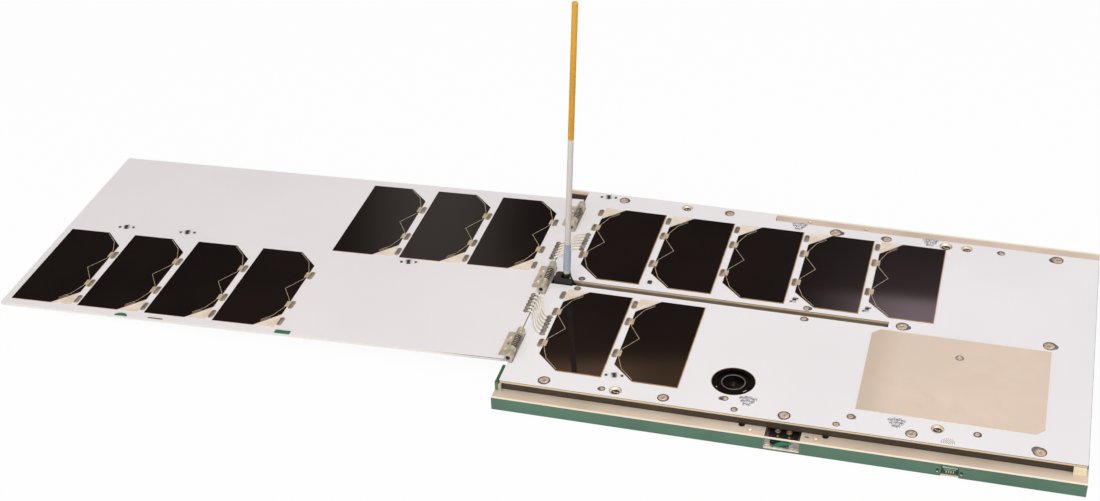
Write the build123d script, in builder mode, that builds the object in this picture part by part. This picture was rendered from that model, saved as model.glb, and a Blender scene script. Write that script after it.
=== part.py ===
from build123d import *
import os
from math import asin, atan2, cos, degrees, hypot, radians, sin, tan

# A flat slab-shaped nanosatellite, lying on its underside with one solar wing open to its left
# and a whip antenna standing beside the wing's hinge line.
# Millimetres. X runs along the body to the right, Y to the back, Z up.
# The origin is the centre of the body's underside.

# ---------------------------------------------------------------- driving dimensions
# body: a tray with circuit-board side walls, and a white panel raised above it on a skirt
tray_length = 333.0
body_width = 227.4            # over the two side boards
body_height = 14.1            # underside to the top of the white panel
ledge_height = 8.2            # underside to the tray's rails
board_thick = 1.6             # every circuit board: side boards, base board, body panel, wing
floor_thick = 1.2
rail_depth = 12.0             # of the tray's front and back rails
end_wall = 1.6
column_count = 5              # shallow pockets in the underside, in columns and rows
row_count = 2
pocket_pitch_x = 61.0
pocket_pitch_y = 94.0
pocket_length = 53.0
pocket_width = 84.0
pocket_corner = 5.0
pocket_depth = 0.4
mount_inset = 16.5            # the four threaded holes under the rails, from the tray's ends
mount_radius = 1.25
mount_depth = 5.0

panel_left_gap = 2.3          # from the tray's left end to the panel's
panel_right_gap = 0.7
panel_side_gap = 9.2          # from the side boards' faces to the panel's front and back edges
row_back_gap = 7.1            # from the antenna slot's middle to the back row of cells
row_front_gap = 7.9           # and to the front row
row_inset = 15.8              # from the panel's left edge to the first cells
back_count = 5                # cells in the body's back row
front_count = 2
panel_corner = 1.0
back_step_depth = 7.6         # the panel's back edge is stepped in from here to its right end
back_step_inset = 125.8       # from the panel's left edge
skirt_thick = 1.0
skirt_inset = 0.3

# solar cells
cell_length = 80.15
cell_breadth = 40.15
cell_crop = 13.4
cell_pitch = 45.0
cell_thick = 0.3
diode_gap = 0.8               # between a cell's cropped corner and the diode beside it
tab_length = 8.0              # the solder pads beside each cell
tab_breadth = 2.8
tab_thick = 0.3
tab_gap = 0.7                 # from the cell's edge to the pad
tab_places = (0.3, 0.7, 0.92)     # shares of the cell's length, from its end without a diode

# wing
wing_length = 328.5
wing_width = 178.0
wing_centre = 4.7             # along Y
wing_gap = 1.0                # between the body panel's left edge and the wing's root edge
tip_inset = 4.9               # from the wing's far edge to its front row of cells
wing_front_inset = 5.7        # from its front edge to that row
wing_back_inset = 6.65        # from its back edge to its back row
wing_row_start = 144.6        # from the body panel's left edge to the back row's far end
wing_front_count = 4
wing_back_count = 3
tip_clearance = 0.3           # the open wing droops until its far edge is this far off the floor

# wing hinges: three on one axis
hinge_pitch = 71.0
hinge_middle = -1.6           # along Y
hinge_length = 28.4
hinge_rise = 3.0              # axis above the panels' top faces
hinge_inset = 0.2             # axis to the right of the panel's left edge
knuckle_radius = 2.3
pin_radius = 1.0
running_gap = 0.05            # radial, pin to knuckle
face_gap = 0.3                # between neighbours along the axis
knuckle_back = 6.0            # length of the body bracket's back knuckle
knuckle_front = 5.2
knuckle_wing = 4.0
pin_recess = 1.5              # the pin stops this far inside the bracket's front face
leaf_length = 22.6
leaf_shift = 2.6              # its middle is this far behind the hinge's
leaf_breadth = 5.6
leaf_thick = 0.8
leaf_start = 1.7              # from the body panel's left edge to the leaf, on the wing
bracket_foot = 8.6            # the bracket's feet reach this far right of the hinge axis
spring_radius = 2.0
spring_wire = 0.4             # radius of the wire
spring_turns = 10

# whip antenna and the channel that it folds into
slot_width = 5.4
slot_middle = -0.4            # along Y
slot_reach = 210.3            # from the panel's left edge to the slot's right end
pivot_inset = 12.0            # from the panel's left edge to the antenna's pivot
pivot_drop = 2.4              # pivot below the panel's top face
antenna_lean = 2.9            # degrees to the right of upright
fold_gap = 4.3                # from the folded antenna's tip to the slot's end
whip_length = 89.0            # the coloured upper part
whip_radius = 1.8
tube_radius = 1.75
sleeve_start = 12.8           # along the antenna from its pivot
sleeve_length = 18.0
sleeve_radius = 2.3
sleeve_floor = 1.0            # of the sleeve, around the foot
foot_radius = 1.2             # of the antenna below its sleeve
boss_radius = 2.0             # of the foot's boss on the pin
sleeve_neck_radius = 1.95      # the sleeve grips the tube with a narrower neck on top
sleeve_neck_length = 4.0
sleeve_taper_length = 3.0
channel_wall = 0.6
channel_floor = 5.0           # below the panel's top face
block_inset = 5.2             # from the panel's left edge to the block
block_length = 11.4           # of the block and of its opening in the panel
block_gap = 0.6               # from the block to its opening
block_front = -4.0
block_back = 4.8
block_top = 4.4               # above the panel's top face
block_rounding = 1.0
fork_gap = 4.8
coax_radius = 0.5

# patch antenna
patch_inset = 24.2            # from the panel's right edge
patch_length = 104.0
patch_slot_gap = 6.2          # from the slot's middle to the patch
patch_short = 2.55            # the patch is this much narrower than a cell is long
patch_thick = 0.4
patch_chamfer = 4.5
patch_feed = (0.5, 20.9)      # from the patch's centre
feed_radius = 1.2
feed_thick = 0.2

# camera
lens_inset = 130.8            # from the panel's left edge
lens_front_inset = 29.5       # from the panel's front edge
lens_radius = 12.2
lens_wall = 2.2
lens_glass_radius = 6.4
lens_recess = 0.9

# front side: release switch in its notch, and the service connector
notch_centre = 0.9
notch_length = 20.0
window_drop = 6.7             # height of the window in the side board
window_lintel = 0.4           # of the board above the window
window_depth = 2.6            # from the board's inner face to the switch
switch_height = 5.0
switch_gap = 0.6              # to the back of the notch
switch_end_gap = 2.0          # to the notch's ends
switch_screw_pitch = 6.4
switch_screw_radius = 1.7
switch_screw_height = 1.0
frame_sill = 0.6
left_post = 3.0
right_post = 5.6
lever_radius = 4.4
lever_thick = 1.5
lever_depth = 1.4
lever_gap = 1.2               # from the lever's foot to the right post
connector_centre = 93.6
connector_length = 9.8
connector_height = 7.2
connector_depth = 6.0
connector_recess = 0.4        # behind the rail's face
connector_gap = 0.4           # to the walls of its pocket
connector_lift = 1.2          # above the underside
back_ear_length = 13.0        # the tray's back-left ear reaches this far past its left end
back_ear_depth = 13.3
ear_block_depth = 10.0
ear_block_drop = 0.5           # below the rails' level

# posts in the gap between the rails and the panel, outside the skirt
post_depth = 2.0
post_inset = 0.5
wide_post = 7.0
narrow_post = 1.6

# the wires that cross the hinge line
wire_radius = 0.45
wire_count = 6
wire_pitch = 3.4
front_bundle_gap = 38.3       # from the slot's middle to the first wire of the front bundle's body end
back_bundle_gap = 36.7
wing_pad_inset = 2.3          # from the body panel's left edge to the wires' ends on the wing
body_pad_inset = 10.7         # and to their ends on the body
wire_pad_length = 2.8
wire_pad_breadth = 2.6
wire_pad_thick = 0.9
wire_end_gap = 0.25           # from a wire's end to its pad

# heavy mass inside
battery_length = 190.0
battery_width = 100.0
battery_height = 3.4
battery_centre = (40.0, 20.0)

# ---------------------------------------------------------------- derived places
back_row = slot_middle + row_back_gap
front_row = slot_middle - row_front_gap - cell_length
panel_under = body_height - board_thick
board_face = body_width / 2 - board_thick
rail_middle = board_face - rail_depth / 2
tray_left = -tray_length / 2
panel_left = tray_left + panel_left_gap
panel_right = tray_length / 2 - panel_right_gap
panel_back = body_width / 2 - panel_side_gap
panel_length = panel_right - panel_left
back_step_start = panel_left + back_step_inset
slot_end = panel_left + slot_reach
pivot_x = panel_left + pivot_inset
antenna_length = slot_end - fold_gap - pivot_x
block_left = panel_left + block_inset
block_right = block_left + block_length
lens_x = panel_left + lens_inset
lens_y = lens_front_inset - panel_back
patch_left = panel_right - patch_inset - patch_length
patch_width = cell_length - patch_short
patch_front = slot_middle - patch_slot_gap - patch_width
mount_x = tray_length / 2 - mount_inset
step_back = panel_back - back_step_depth
block_width = block_back - block_front     # of its opening in the panel
block_middle = (block_back + block_front) / 2
pad_offset = wire_pad_length / 2 + wire_end_gap

# the open wing's far lower edge stands just off the floor
wing_reach = wing_gap + wing_length
wing_droop = degrees(asin((body_height - tip_clearance) / hypot(wing_reach, board_thick))
                     - atan2(board_thick, wing_reach))

axis_x = panel_left + hinge_inset
axis_z = body_height + hinge_rise
wing_root = Vector(panel_left, 0, body_height)
wing_plane = Plane(
    origin=wing_root,
    x_dir=(cos(radians(wing_droop)), 0, sin(radians(wing_droop))),
    z_dir=(-sin(radians(wing_droop)), 0, cos(radians(wing_droop))),
)
notch_right = axis_x + knuckle_radius + face_gap
stem_left = panel_left + face_gap          # of the brackets' stems, inside the notch
stem_right = notch_right - face_gap
hinge_centres = [hinge_middle + k * hinge_pitch for k in (-1, 0, 1)]

pivot_z = body_height - pivot_drop
fork_left = pivot_x - sleeve_radius - block_gap
channel_start = block_right + face_gap
tube_start = sleeve_start + sleeve_floor
sleeve_end = sleeve_start + sleeve_length
antenna_plane = Plane(
    origin=(pivot_x, slot_middle, pivot_z),
    x_dir=(cos(radians(antenna_lean)), 0, -sin(radians(antenna_lean))),
    z_dir=(sin(radians(antenna_lean)), 0, cos(radians(antenna_lean))),
)

# screws that show through the panel: x as a share of its length, y from its front edge or, below
# zero, from its back edge, hole diameter
EDGE_SCREWS = (
    (0.0764, -5.9, 6.5), (0.2039, -5.9, 6.5), (0.2891, -5.9, 6.0), (0.5027, -13.1, 7.6),
    (0.6006, -13.3, 6.0), (0.7139, -13.2, 7.6), (0.7536, -13.2, 6.5), (0.8182, -13.3, 4.5),
    (0.9227, -13.2, 7.6), (0.0764, 5.9, 7.0), (0.1794, 5.9, 3.8), (0.2036, 5.9, 7.0),
    (0.2879, 5.7, 6.5), (0.3906, 13.0, 4.0), (0.4118, 4.5, 3.8), (0.4970, 5.5, 7.0),
    (0.5855, 4.5, 3.8), (0.6070, 13.0, 4.5), (0.7109, 5.6, 6.5), (0.7521, 13.0, 7.0),
    (0.8182, 13.0, 4.3), (0.9209, 5.8, 7.6),
)
# beside the slot and in line with it: x from the panel's left edge or, below zero, from its right
# edge, y from the slot's middle, hole diameter
SLOT_SCREWS = (
    (20.6, 5.4, 4.0), (20.6, -5.4, 4.0), (160.6, 5.6, 4.4), (160.6, -5.6, 4.4),
    (218.6, 0.0, 7.6), (-25.5, 0.0, 7.6),
)
SCREWS = ([(panel_left + share * panel_length, y - panel_back if y > 0 else y + panel_back, hole)
           for share, y, hole in EDGE_SCREWS]
          + [(x + (panel_left if x > 0 else panel_right), y + slot_middle, hole)
             for x, y, hole in SLOT_SCREWS])
stand_gap = 0.3               # stand-off to the wall of its hole in the panel
head_gap = 0.7                # screw head to the wall of its hole
stand_top = 0.3               # stand-off above the panel's underside
head_thick = 1.6

# cell rows: left edge of the first cell, front edge, number of cells. The wing's are in its own
# plane, counted from the body panel's left edge.
BODY_ROWS = ((panel_left + row_inset, back_row, back_count),
             (panel_left + row_inset, front_row, front_count))
WING_ROWS = ((tip_inset - wing_gap - wing_length, wing_centre - wing_width / 2 + wing_front_inset,
              wing_front_count),
             (-wing_row_start, wing_centre + wing_width / 2 - cell_length - wing_back_inset,
              wing_back_count))

# wire bundles: y of the first wing pad, y of the first body pad, direction of the next ones
FRONT_WIRES = (-18.5, slot_middle - front_bundle_gap, -1)
BACK_WIRES = (22.6, slot_middle + back_bundle_gap, 1)
body_pad_x = panel_left + body_pad_inset
# a wire's route: shares of its span along X and along Y, and its height over the panels
WIRE_ROUTE = ((0.0, 0.0, 0.6), (0.2, 0.07, 1.5), (0.44, 0.32, 2.2), (0.6, 0.68, 2.2),
              (0.8, 0.93, 1.5), (1.0, 1.0, 0.6))
# the antenna's cable from the sleeve's foot down into the channel, counted from the pivot
COAX_ROUTE = ((2.4, 0.0, 12.6), (2.3, 0.0, 9.1), (3.5, -0.6, 5.7), (5.6, -1.1, 2.7),
              (7.6, -1.1, 0.1))
bend_share = 0.45             # of the shorter run beside a bend, taken up by its arc

os.makedirs("parts", exist_ok=True)


def row_places(rows):
    return [(left + i * cell_pitch, front) for left, front, count in rows for i in range(count)]


# a cell's outline from its own front-left corner, its cropped side to the left
CELL = [(0, cell_crop), (cell_crop, 0), (cell_breadth, 0), (cell_breadth, cell_length),
        (cell_crop, cell_length), (0, cell_length - cell_crop)]
# the diode fills the cropped corner at the cell's back
diode_leg = cell_crop - diode_gap * 2 ** 0.5
DIODE = [(0, cell_length - diode_leg), (diode_leg, cell_length), (0, cell_length)]


def turned(points):
    """The same outline turned half round within the cell's own rectangle."""
    return [(cell_breadth - x, cell_length - y) for x, y in points]


def tabs(places, side_x, start_y, way):
    """Centres of the solder pads beside each cell, counted from its end without a diode."""
    return [(x + side_x, y + start_y + way * share * cell_length)
            for x, y in places for share in tab_places]


def placed(points, places):
    return [[(x + px, y + py) for x, y in points] for px, py in places]


# ---------------------------------------------------------------- tray and boards
with BuildPart() as base_tray:
    with BuildSketch():
        Rectangle(tray_length, 2 * board_face)
    extrude(amount=ledge_height)
    with BuildSketch(Plane.XY.offset(floor_thick)):
        Rectangle(tray_length - 2 * end_wall, 2 * (board_face - rail_depth))
    extrude(amount=ledge_height, mode=Mode.SUBTRACT)
    # the end walls stop under the base board, which closes the tray
    with BuildSketch(Plane.XY.offset(ledge_height - board_thick)):
        Rectangle(tray_length, 2 * (board_face - rail_depth))
    extrude(amount=board_thick, mode=Mode.SUBTRACT)
    # the notch in the front rail for the release switch
    with BuildSketch(Plane.XY.offset(floor_thick)):
        with Locations((notch_centre, -board_face + rail_depth / 2)):
            Rectangle(notch_length, rail_depth)
    extrude(amount=ledge_height, mode=Mode.SUBTRACT)
    # the pocket behind the service connector
    with BuildSketch(Plane.XY):
        with Locations((connector_centre, -board_face + connector_depth / 2)):
            Rectangle(connector_length, connector_depth)
    extrude(amount=connector_height, mode=Mode.SUBTRACT)
    # shallow pockets in the underside
    with BuildSketch():
        with GridLocations(pocket_pitch_x, pocket_pitch_y, column_count, row_count):
            RectangleRounded(pocket_length, pocket_width, pocket_corner)
    extrude(amount=pocket_depth, mode=Mode.SUBTRACT)
    # threaded holes under the rails
    with BuildSketch():
        with GridLocations(2 * mount_x, 2 * rail_middle, 2, 2):
            Circle(mount_radius)
    extrude(amount=mount_depth, mode=Mode.SUBTRACT)
    # the ear behind the wing's back corner
    with BuildSketch():
        with Locations((tray_left - back_ear_length / 2, board_face - back_ear_depth / 2)):
            Rectangle(back_ear_length, back_ear_depth)
    extrude(amount=floor_thick)
    with BuildSketch():
        with Locations((tray_left - back_ear_length / 2,
                        board_face - (back_ear_depth - ear_block_depth) / 2)):
            Rectangle(back_ear_length, back_ear_depth - ear_block_depth)
    extrude(amount=ledge_height)
base_tray.part.label = "base_tray"
export_step(base_tray.part, "parts/base_tray.step")

with BuildPart() as corner_block:
    with BuildSketch(Plane.XY.offset(floor_thick)):
        with Locations((tray_left - back_ear_length / 2,
                        board_face - back_ear_depth + ear_block_depth / 2)):
            Rectangle(back_ear_length, ear_block_depth)
    extrude(amount=ledge_height - floor_thick - ear_block_drop)
corner_block.part.label = "corner_block"
export_step(corner_block.part, "parts/corner_block.step")

with BuildPart() as side_board_front:
    with BuildSketch(Plane.XZ.offset(board_face)):
        with Locations((0, ledge_height / 2)):
            Rectangle(tray_length, ledge_height)
        with Locations((notch_centre, ledge_height - window_lintel - window_drop / 2)):
            Rectangle(notch_length, window_drop, mode=Mode.SUBTRACT)
        with Locations((connector_centre, connector_height / 2)):
            Rectangle(connector_length, connector_height, mode=Mode.SUBTRACT)
    extrude(amount=board_thick)
side_board_front.part.label = "side_board_front"
export_step(side_board_front.part, "parts/side_board_front.step")

with BuildPart() as side_board_back:
    with BuildSketch(Plane.XZ.offset(-board_face)):
        with Locations((-back_ear_length / 2, ledge_height / 2)):
            Rectangle(tray_length + back_ear_length, ledge_height)
    extrude(amount=-board_thick)
side_board_back.part.label = "side_board_back"
export_step(side_board_back.part, "parts/side_board_back.step")

with BuildPart() as base_board:
    with BuildSketch(Plane.XY.offset(ledge_height - board_thick)):
        Rectangle(tray_length, 2 * (board_face - rail_depth))
        with Locations((lens_x, lens_y)):
            Circle(lens_radius + face_gap, mode=Mode.SUBTRACT)
    extrude(amount=board_thick)
base_board.part.label = "base_board"
export_step(base_board.part, "parts/base_board.step")

with BuildPart() as battery_pack:
    with BuildSketch(Plane.XY.offset(floor_thick)):
        with Locations(battery_centre):
            Rectangle(battery_length, battery_width)
    extrude(amount=battery_height)
battery_pack.part.label = "battery_pack"
export_step(battery_pack.part, "parts/battery_pack.step")

# ---------------------------------------------------------------- raised panel
PANEL = [(panel_left, -panel_back), (panel_right, -panel_back), (panel_right, step_back),
         (back_step_start, step_back), (back_step_start, panel_back), (panel_left, panel_back)]

# the skirt's strips between the rails and the panel: left, front, right and back
skirt_left = panel_left + skirt_inset
skirt_right = panel_right - skirt_inset
skirt_back = panel_back - skirt_inset
skirt_step = step_back - skirt_inset
step_strip = back_step_start - skirt_inset
end_strip = skirt_thick + face_gap
SKIRT = (
    (skirt_left + end_strip, -skirt_back, skirt_right - end_strip, skirt_thick - skirt_back),
    (skirt_left + end_strip, skirt_back - skirt_thick, step_strip - end_strip, skirt_back),
    (step_strip - skirt_thick, skirt_step + face_gap, step_strip, skirt_back),
    (step_strip - skirt_thick, skirt_step - skirt_thick, skirt_right - end_strip, skirt_step),
    (skirt_left, -skirt_back, skirt_left + skirt_thick, skirt_back),
    (skirt_right - skirt_thick, -skirt_back, skirt_right, skirt_step),
)
with BuildPart() as skirt:
    with BuildSketch(Plane.XY.offset(ledge_height)):
        for left, front, right, back in SKIRT:
            with Locations(((left + right) / 2, (front + back) / 2)):
                Rectangle(right - left, back - front)
    extrude(amount=panel_under - ledge_height)
    # room for the hinge brackets in the left strip
    with BuildSketch(Plane.XY.offset(panel_under)):
        with Locations(*[(panel_left, y) for y in hinge_centres]):
            Rectangle(6 * skirt_thick, hinge_length + 2 * face_gap)
    extrude(amount=-(leaf_thick + face_gap), mode=Mode.SUBTRACT)
skirt.part.label = "skirt"
export_step(skirt.part, "parts/skirt.step")



def panel_cuts():
    """The notches, slot and holes that the panel's sections share."""
    with Locations(*[(panel_left, y) for y in hinge_centres]):
        Rectangle(2 * (notch_right - panel_left), hinge_length + 2 * face_gap, mode=Mode.SUBTRACT)
    with Locations(((notch_right + block_right) / 2, block_middle)):
        Rectangle(block_right - notch_right + 2 * face_gap, block_width, mode=Mode.SUBTRACT)
    with Locations((lens_x, lens_y)):
        Circle(lens_radius + face_gap, mode=Mode.SUBTRACT)
    for x, y, diameter in SCREWS:
        with Locations((x, y)):
            Circle(diameter / 2, mode=Mode.SUBTRACT)


# the panel's sections: in front of the slot, behind it and to its right
slot_front = slot_middle - slot_width / 2
slot_back = slot_middle + slot_width / 2
with BuildPart() as body_panel:
    with BuildSketch(Plane.XY.offset(panel_under)):
        Polygon(*PANEL, align=None)
        fillet(vertices(), panel_corner)
        with Locations((slot_end, 0)):
            Rectangle(panel_length, 2 * panel_back, align=(Align.MAX, Align.CENTER),
                      mode=Mode.SUBTRACT)
        panel_cuts()
    extrude(amount=board_thick)
body_panel.part.label = "body_panel"
export_step(body_panel.part, "parts/body_panel.step")

with BuildPart() as body_panel_front:
    with BuildSketch(Plane.XY.offset(panel_under)):
        Polygon(*PANEL, align=None)
        fillet(vertices(), panel_corner)
        with Locations((slot_end, -panel_back)):
            Rectangle(panel_length, slot_front + panel_back, align=(Align.MAX, Align.MIN),
                      mode=Mode.INTERSECT)
        panel_cuts()
    extrude(amount=board_thick)
body_panel_front.part.label = "body_panel_front"
export_step(body_panel_front.part, "parts/body_panel_front.step")

with BuildPart() as body_panel_back:
    with BuildSketch(Plane.XY.offset(panel_under)):
        Polygon(*PANEL, align=None)
        fillet(vertices(), panel_corner)
        with Locations((slot_end, panel_back)):
            Rectangle(panel_length, panel_back - slot_back, align=Align.MAX, mode=Mode.INTERSECT)
        panel_cuts()
    extrude(amount=board_thick)
body_panel_back.part.label = "body_panel_back"
export_step(body_panel_back.part, "parts/body_panel_back.step")

with BuildPart() as stand_offs:
    for x, y, diameter in SCREWS:
        with BuildSketch(Plane.XY.offset(ledge_height)):
            with Locations((x, y)):
                Circle(diameter / 2 - stand_gap)
        extrude(amount=panel_under + stand_top - ledge_height)
stand_offs.part.label = "stand_offs"
export_step(stand_offs.part, "parts/stand_offs.step")

with BuildPart() as panel_screws:
    for x, y, diameter in SCREWS:
        with BuildSketch(Plane.XY.offset(panel_under + stand_top)):
            with Locations((x, y)):
                Circle(diameter / 2 - head_gap)
        extrude(amount=head_thick)
panel_screws.part.label = "panel_screws"
export_step(panel_screws.part, "parts/panel_screws.step")

with BuildPart() as body_cells:
    with BuildSketch(Plane.XY.offset(body_height)):
        for outline in placed(CELL, row_places(BODY_ROWS)):
            Polygon(*outline, align=None)
    extrude(amount=cell_thick)
body_cells.part.label = "body_cells"
export_step(body_cells.part, "parts/body_cells.step")

with BuildPart() as body_diodes:
    with BuildSketch(Plane.XY.offset(body_height)):
        for outline in placed(DIODE, row_places(BODY_ROWS)):
            Polygon(*outline, align=None)
    extrude(amount=cell_thick)
body_diodes.part.label = "body_diodes"
export_step(body_diodes.part, "parts/body_diodes.step")

with BuildPart() as body_tabs:
    with BuildSketch(Plane.XY.offset(body_height)):
        with Locations(*tabs(row_places(BODY_ROWS), -tab_gap - tab_breadth / 2, 0, 1)):
            SlotOverall(tab_length, tab_breadth, rotation=90)
    extrude(amount=tab_thick)
body_tabs.part.label = "body_tabs"
export_step(body_tabs.part, "parts/body_tabs.step")

with BuildPart() as patch_antenna:
    with BuildSketch(Plane.XY.offset(body_height)):
        with Locations((patch_left, patch_front)):
            Polygon((0, 0), (patch_length - patch_chamfer, 0), (patch_length, patch_chamfer),
                    (patch_length, patch_width), (patch_chamfer, patch_width),
                    (0, patch_width - patch_chamfer), align=None)
    extrude(amount=patch_thick)
    with BuildSketch(Plane.XY.offset(body_height + patch_thick)):
        with Locations((patch_left + patch_length / 2 + patch_feed[0],
                        patch_front + patch_width / 2 + patch_feed[1])):
            Circle(feed_radius)
    extrude(amount=feed_thick)
patch_antenna.part.label = "patch_antenna"
export_step(patch_antenna.part, "parts/patch_antenna.step")

with BuildPart() as lens_barrel:
    with BuildSketch(Plane.XY.offset(floor_thick)):
        with Locations((lens_x, lens_y)):
            Circle(lens_radius)
    extrude(amount=body_height - floor_thick)
    with BuildSketch(Plane.XY.offset(body_height)):
        with Locations((lens_x, lens_y)):
            Circle(lens_radius - lens_wall)
    extrude(amount=-lens_recess, mode=Mode.SUBTRACT)
    with BuildSketch(Plane.XY.offset(body_height - lens_recess)):
        with Locations((lens_x, lens_y)):
            Circle(lens_glass_radius)
    extrude(amount=-3 * lens_recess, mode=Mode.SUBTRACT)
lens_barrel.part.label = "lens_barrel"
export_step(lens_barrel.part, "parts/lens_barrel.step")

with BuildPart() as lens_glass:
    with BuildSketch(Plane.XY.offset(body_height - 4 * lens_recess)):
        with Locations((lens_x, lens_y)):
            Circle(lens_glass_radius - running_gap)
    extrude(amount=1.5 * lens_recess)
lens_glass.part.label = "lens_glass"
export_step(lens_glass.part, "parts/lens_glass.step")

# ---------------------------------------------------------------- release switch and connector
switch_back = -board_face + rail_depth - switch_gap
switch_front = -board_face + window_depth
with BuildPart() as release_switch:
    with BuildSketch(Plane.XY.offset(floor_thick)):
        with Locations((notch_centre, (switch_front + switch_back) / 2)):
            Rectangle(notch_length - 2 * switch_end_gap, switch_back - switch_front)
    extrude(amount=switch_height)
    with BuildSketch(Plane.XY.offset(floor_thick + switch_height)):
        with Locations(*[(notch_centre + side * switch_screw_pitch / 2,
                          (switch_front + switch_back) / 2) for side in (-1, 1)]):
            Circle(switch_screw_radius)
    extrude(amount=switch_screw_height)
release_switch.part.label = "release_switch"
export_step(release_switch.part, "parts/release_switch.step")

# the window's metal frame: a sill with a narrow post at its left and a wide one at its right
frame_left = notch_centre - notch_length / 2 + face_gap
frame_right = notch_centre + notch_length / 2 - face_gap
frame_y = (-board_face + switch_front) / 2
with BuildPart() as release_bracket:
    with BuildSketch(Plane.XY.offset(floor_thick)):
        with Locations(((frame_left + frame_right) / 2, frame_y)):
            Rectangle(frame_right - frame_left, window_depth - 2 * face_gap)
    extrude(amount=frame_sill)
    with BuildSketch(Plane.XY.offset(floor_thick)):
        with Locations((frame_left + left_post / 2, frame_y)):
            Rectangle(left_post, window_depth - 2 * face_gap)
        with Locations((frame_right - right_post / 2, frame_y)):
            Rectangle(right_post, window_depth - 2 * face_gap)
    extrude(amount=switch_height)
release_bracket.part.label = "release_bracket"
export_step(release_bracket.part, "parts/release_bracket.step")

# the lever's quarter ring stands on the sill, between the posts
with BuildPart() as release_lever:
    with BuildSketch(Plane.XZ.offset(-frame_y + lever_depth / 2)):
        with Locations((frame_right - right_post - lever_gap, floor_thick + frame_sill)):
            Circle(lever_radius)
            Circle(lever_radius - lever_thick, mode=Mode.SUBTRACT)
            Rectangle(lever_radius, lever_radius, align=(Align.MAX, Align.MIN),
                      mode=Mode.INTERSECT)
    extrude(amount=-lever_depth)
release_lever.part.label = "release_lever"
export_step(release_lever.part, "parts/release_lever.step")

with BuildPart() as service_connector:
    with BuildSketch(Plane.XZ.offset(board_face - connector_recess)):
        with Locations((connector_centre, (connector_lift + connector_height
                                           - connector_gap) / 2)):
            Rectangle(connector_length - 2 * connector_gap,
                      connector_height - connector_gap - connector_lift)
    extrude(amount=-(connector_depth - connector_recess))
service_connector.part.label = "service_connector"
export_step(service_connector.part, "parts/service_connector.step")

with BuildPart() as gap_posts:
    with BuildSketch(Plane.XY.offset(ledge_height)):
        with Locations((panel_right - post_inset - wide_post / 2, -panel_back - post_depth / 2),
                       (panel_right - post_inset - wide_post / 2, step_back + post_depth / 2)):
            Rectangle(wide_post, post_depth)
        with Locations((panel_left + narrow_post / 2, -panel_back - post_depth / 2)):
            Rectangle(narrow_post, post_depth)
    extrude(amount=panel_under - ledge_height)
gap_posts.part.label = "gap_posts"
export_step(gap_posts.part, "parts/gap_posts.step")

# ---------------------------------------------------------------- antenna
channel_end = slot_end + channel_wall
with BuildPart() as channel_strip:
    with BuildSketch(Plane.XY.offset(body_height - channel_floor - channel_wall)):
        with Locations(((channel_start + channel_end) / 2, slot_middle)):
            Rectangle(channel_end - channel_start, slot_width + 2 * channel_wall)
    extrude(amount=channel_wall)
channel_strip.part.label = "channel_strip"
export_step(channel_strip.part, "parts/channel_strip.step")

with BuildPart() as channel_walls:
    with BuildSketch(Plane.XY.offset(body_height - channel_floor)):
        with Locations(*[((channel_start + channel_end) / 2,
                          slot_middle + side * (slot_width + channel_wall) / 2)
                         for side in (-1, 1)]):
            Rectangle(channel_end - channel_start, channel_wall)
        with Locations((slot_end + channel_wall / 2, slot_middle)):
            Rectangle(channel_wall, slot_width - 2 * running_gap)
    extrude(amount=channel_floor - board_thick)
channel_walls.part.label = "channel_walls"
export_step(channel_walls.part, "parts/channel_walls.step")

with BuildPart() as antenna_block:
    with BuildSketch(Plane.XZ.offset(-block_front - block_gap)):
        with Locations(((block_left + block_right) / 2,
                        (ledge_height + body_height + block_top) / 2)):
            Rectangle(block_right - block_left, body_height + block_top - ledge_height)
    extrude(amount=-(block_width - 2 * block_gap))
    fillet(edges().filter_by(Axis.Y).group_by(Axis.Z)[-1], block_rounding)
    # the fork that the antenna's foot turns in, open at the top and towards the channel
    with BuildSketch(Plane.XY.offset(body_height - channel_floor)):
        with Locations(((fork_left + block_right) / 2, slot_middle)):
            Rectangle(block_right - fork_left, fork_gap)
    extrude(amount=channel_floor + block_top, mode=Mode.SUBTRACT)
    with BuildSketch(Plane.XZ.offset(-block_front - block_gap)):
        with Locations((pivot_x, pivot_z)):
            Circle(pin_radius)
    extrude(amount=-(block_width - 2 * block_gap), mode=Mode.SUBTRACT)
antenna_block.part.label = "antenna_block"
export_step(antenna_block.part, "parts/antenna_block.step")

with BuildPart() as antenna_pin:
    with BuildSketch(Plane.XZ.offset(-block_front - block_gap)):
        with Locations((pivot_x, pivot_z)):
            Circle(pin_radius)
    extrude(amount=-(block_width - 2 * block_gap))
antenna_pin.part.label = "antenna_pin"
export_step(antenna_pin.part, "parts/antenna_pin.step")

with BuildPart() as antenna_tube:
    with BuildSketch(antenna_plane):
        Circle(foot_radius)
    extrude(amount=tube_start)
    with BuildSketch(antenna_plane.offset(tube_start)):
        Circle(tube_radius)
    extrude(amount=antenna_length - whip_length - tube_start)
    with BuildSketch(Plane.XZ.offset(-slot_middle + fork_gap / 2 - face_gap)):
        with Locations((pivot_x, pivot_z)):
            Circle(boss_radius)
    extrude(amount=-(fork_gap - 2 * face_gap))
    with BuildSketch(Plane.XZ.offset(-slot_middle + fork_gap / 2)):
        with Locations((pivot_x, pivot_z)):
            Circle(pin_radius + running_gap)
    extrude(amount=-fork_gap, mode=Mode.SUBTRACT)
antenna_tube.part.label = "antenna_tube"
export_step(antenna_tube.part, "parts/antenna_tube.step")

with BuildPart() as antenna_whip:
    with BuildSketch(antenna_plane.offset(antenna_length - whip_length)):
        Circle(whip_radius)
    extrude(amount=whip_length)
    fillet(faces().sort_by(Axis.Z)[-1].edges(), 0.6)
antenna_whip.part.label = "antenna_whip"
export_step(antenna_whip.part, "parts/antenna_whip.step")

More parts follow.
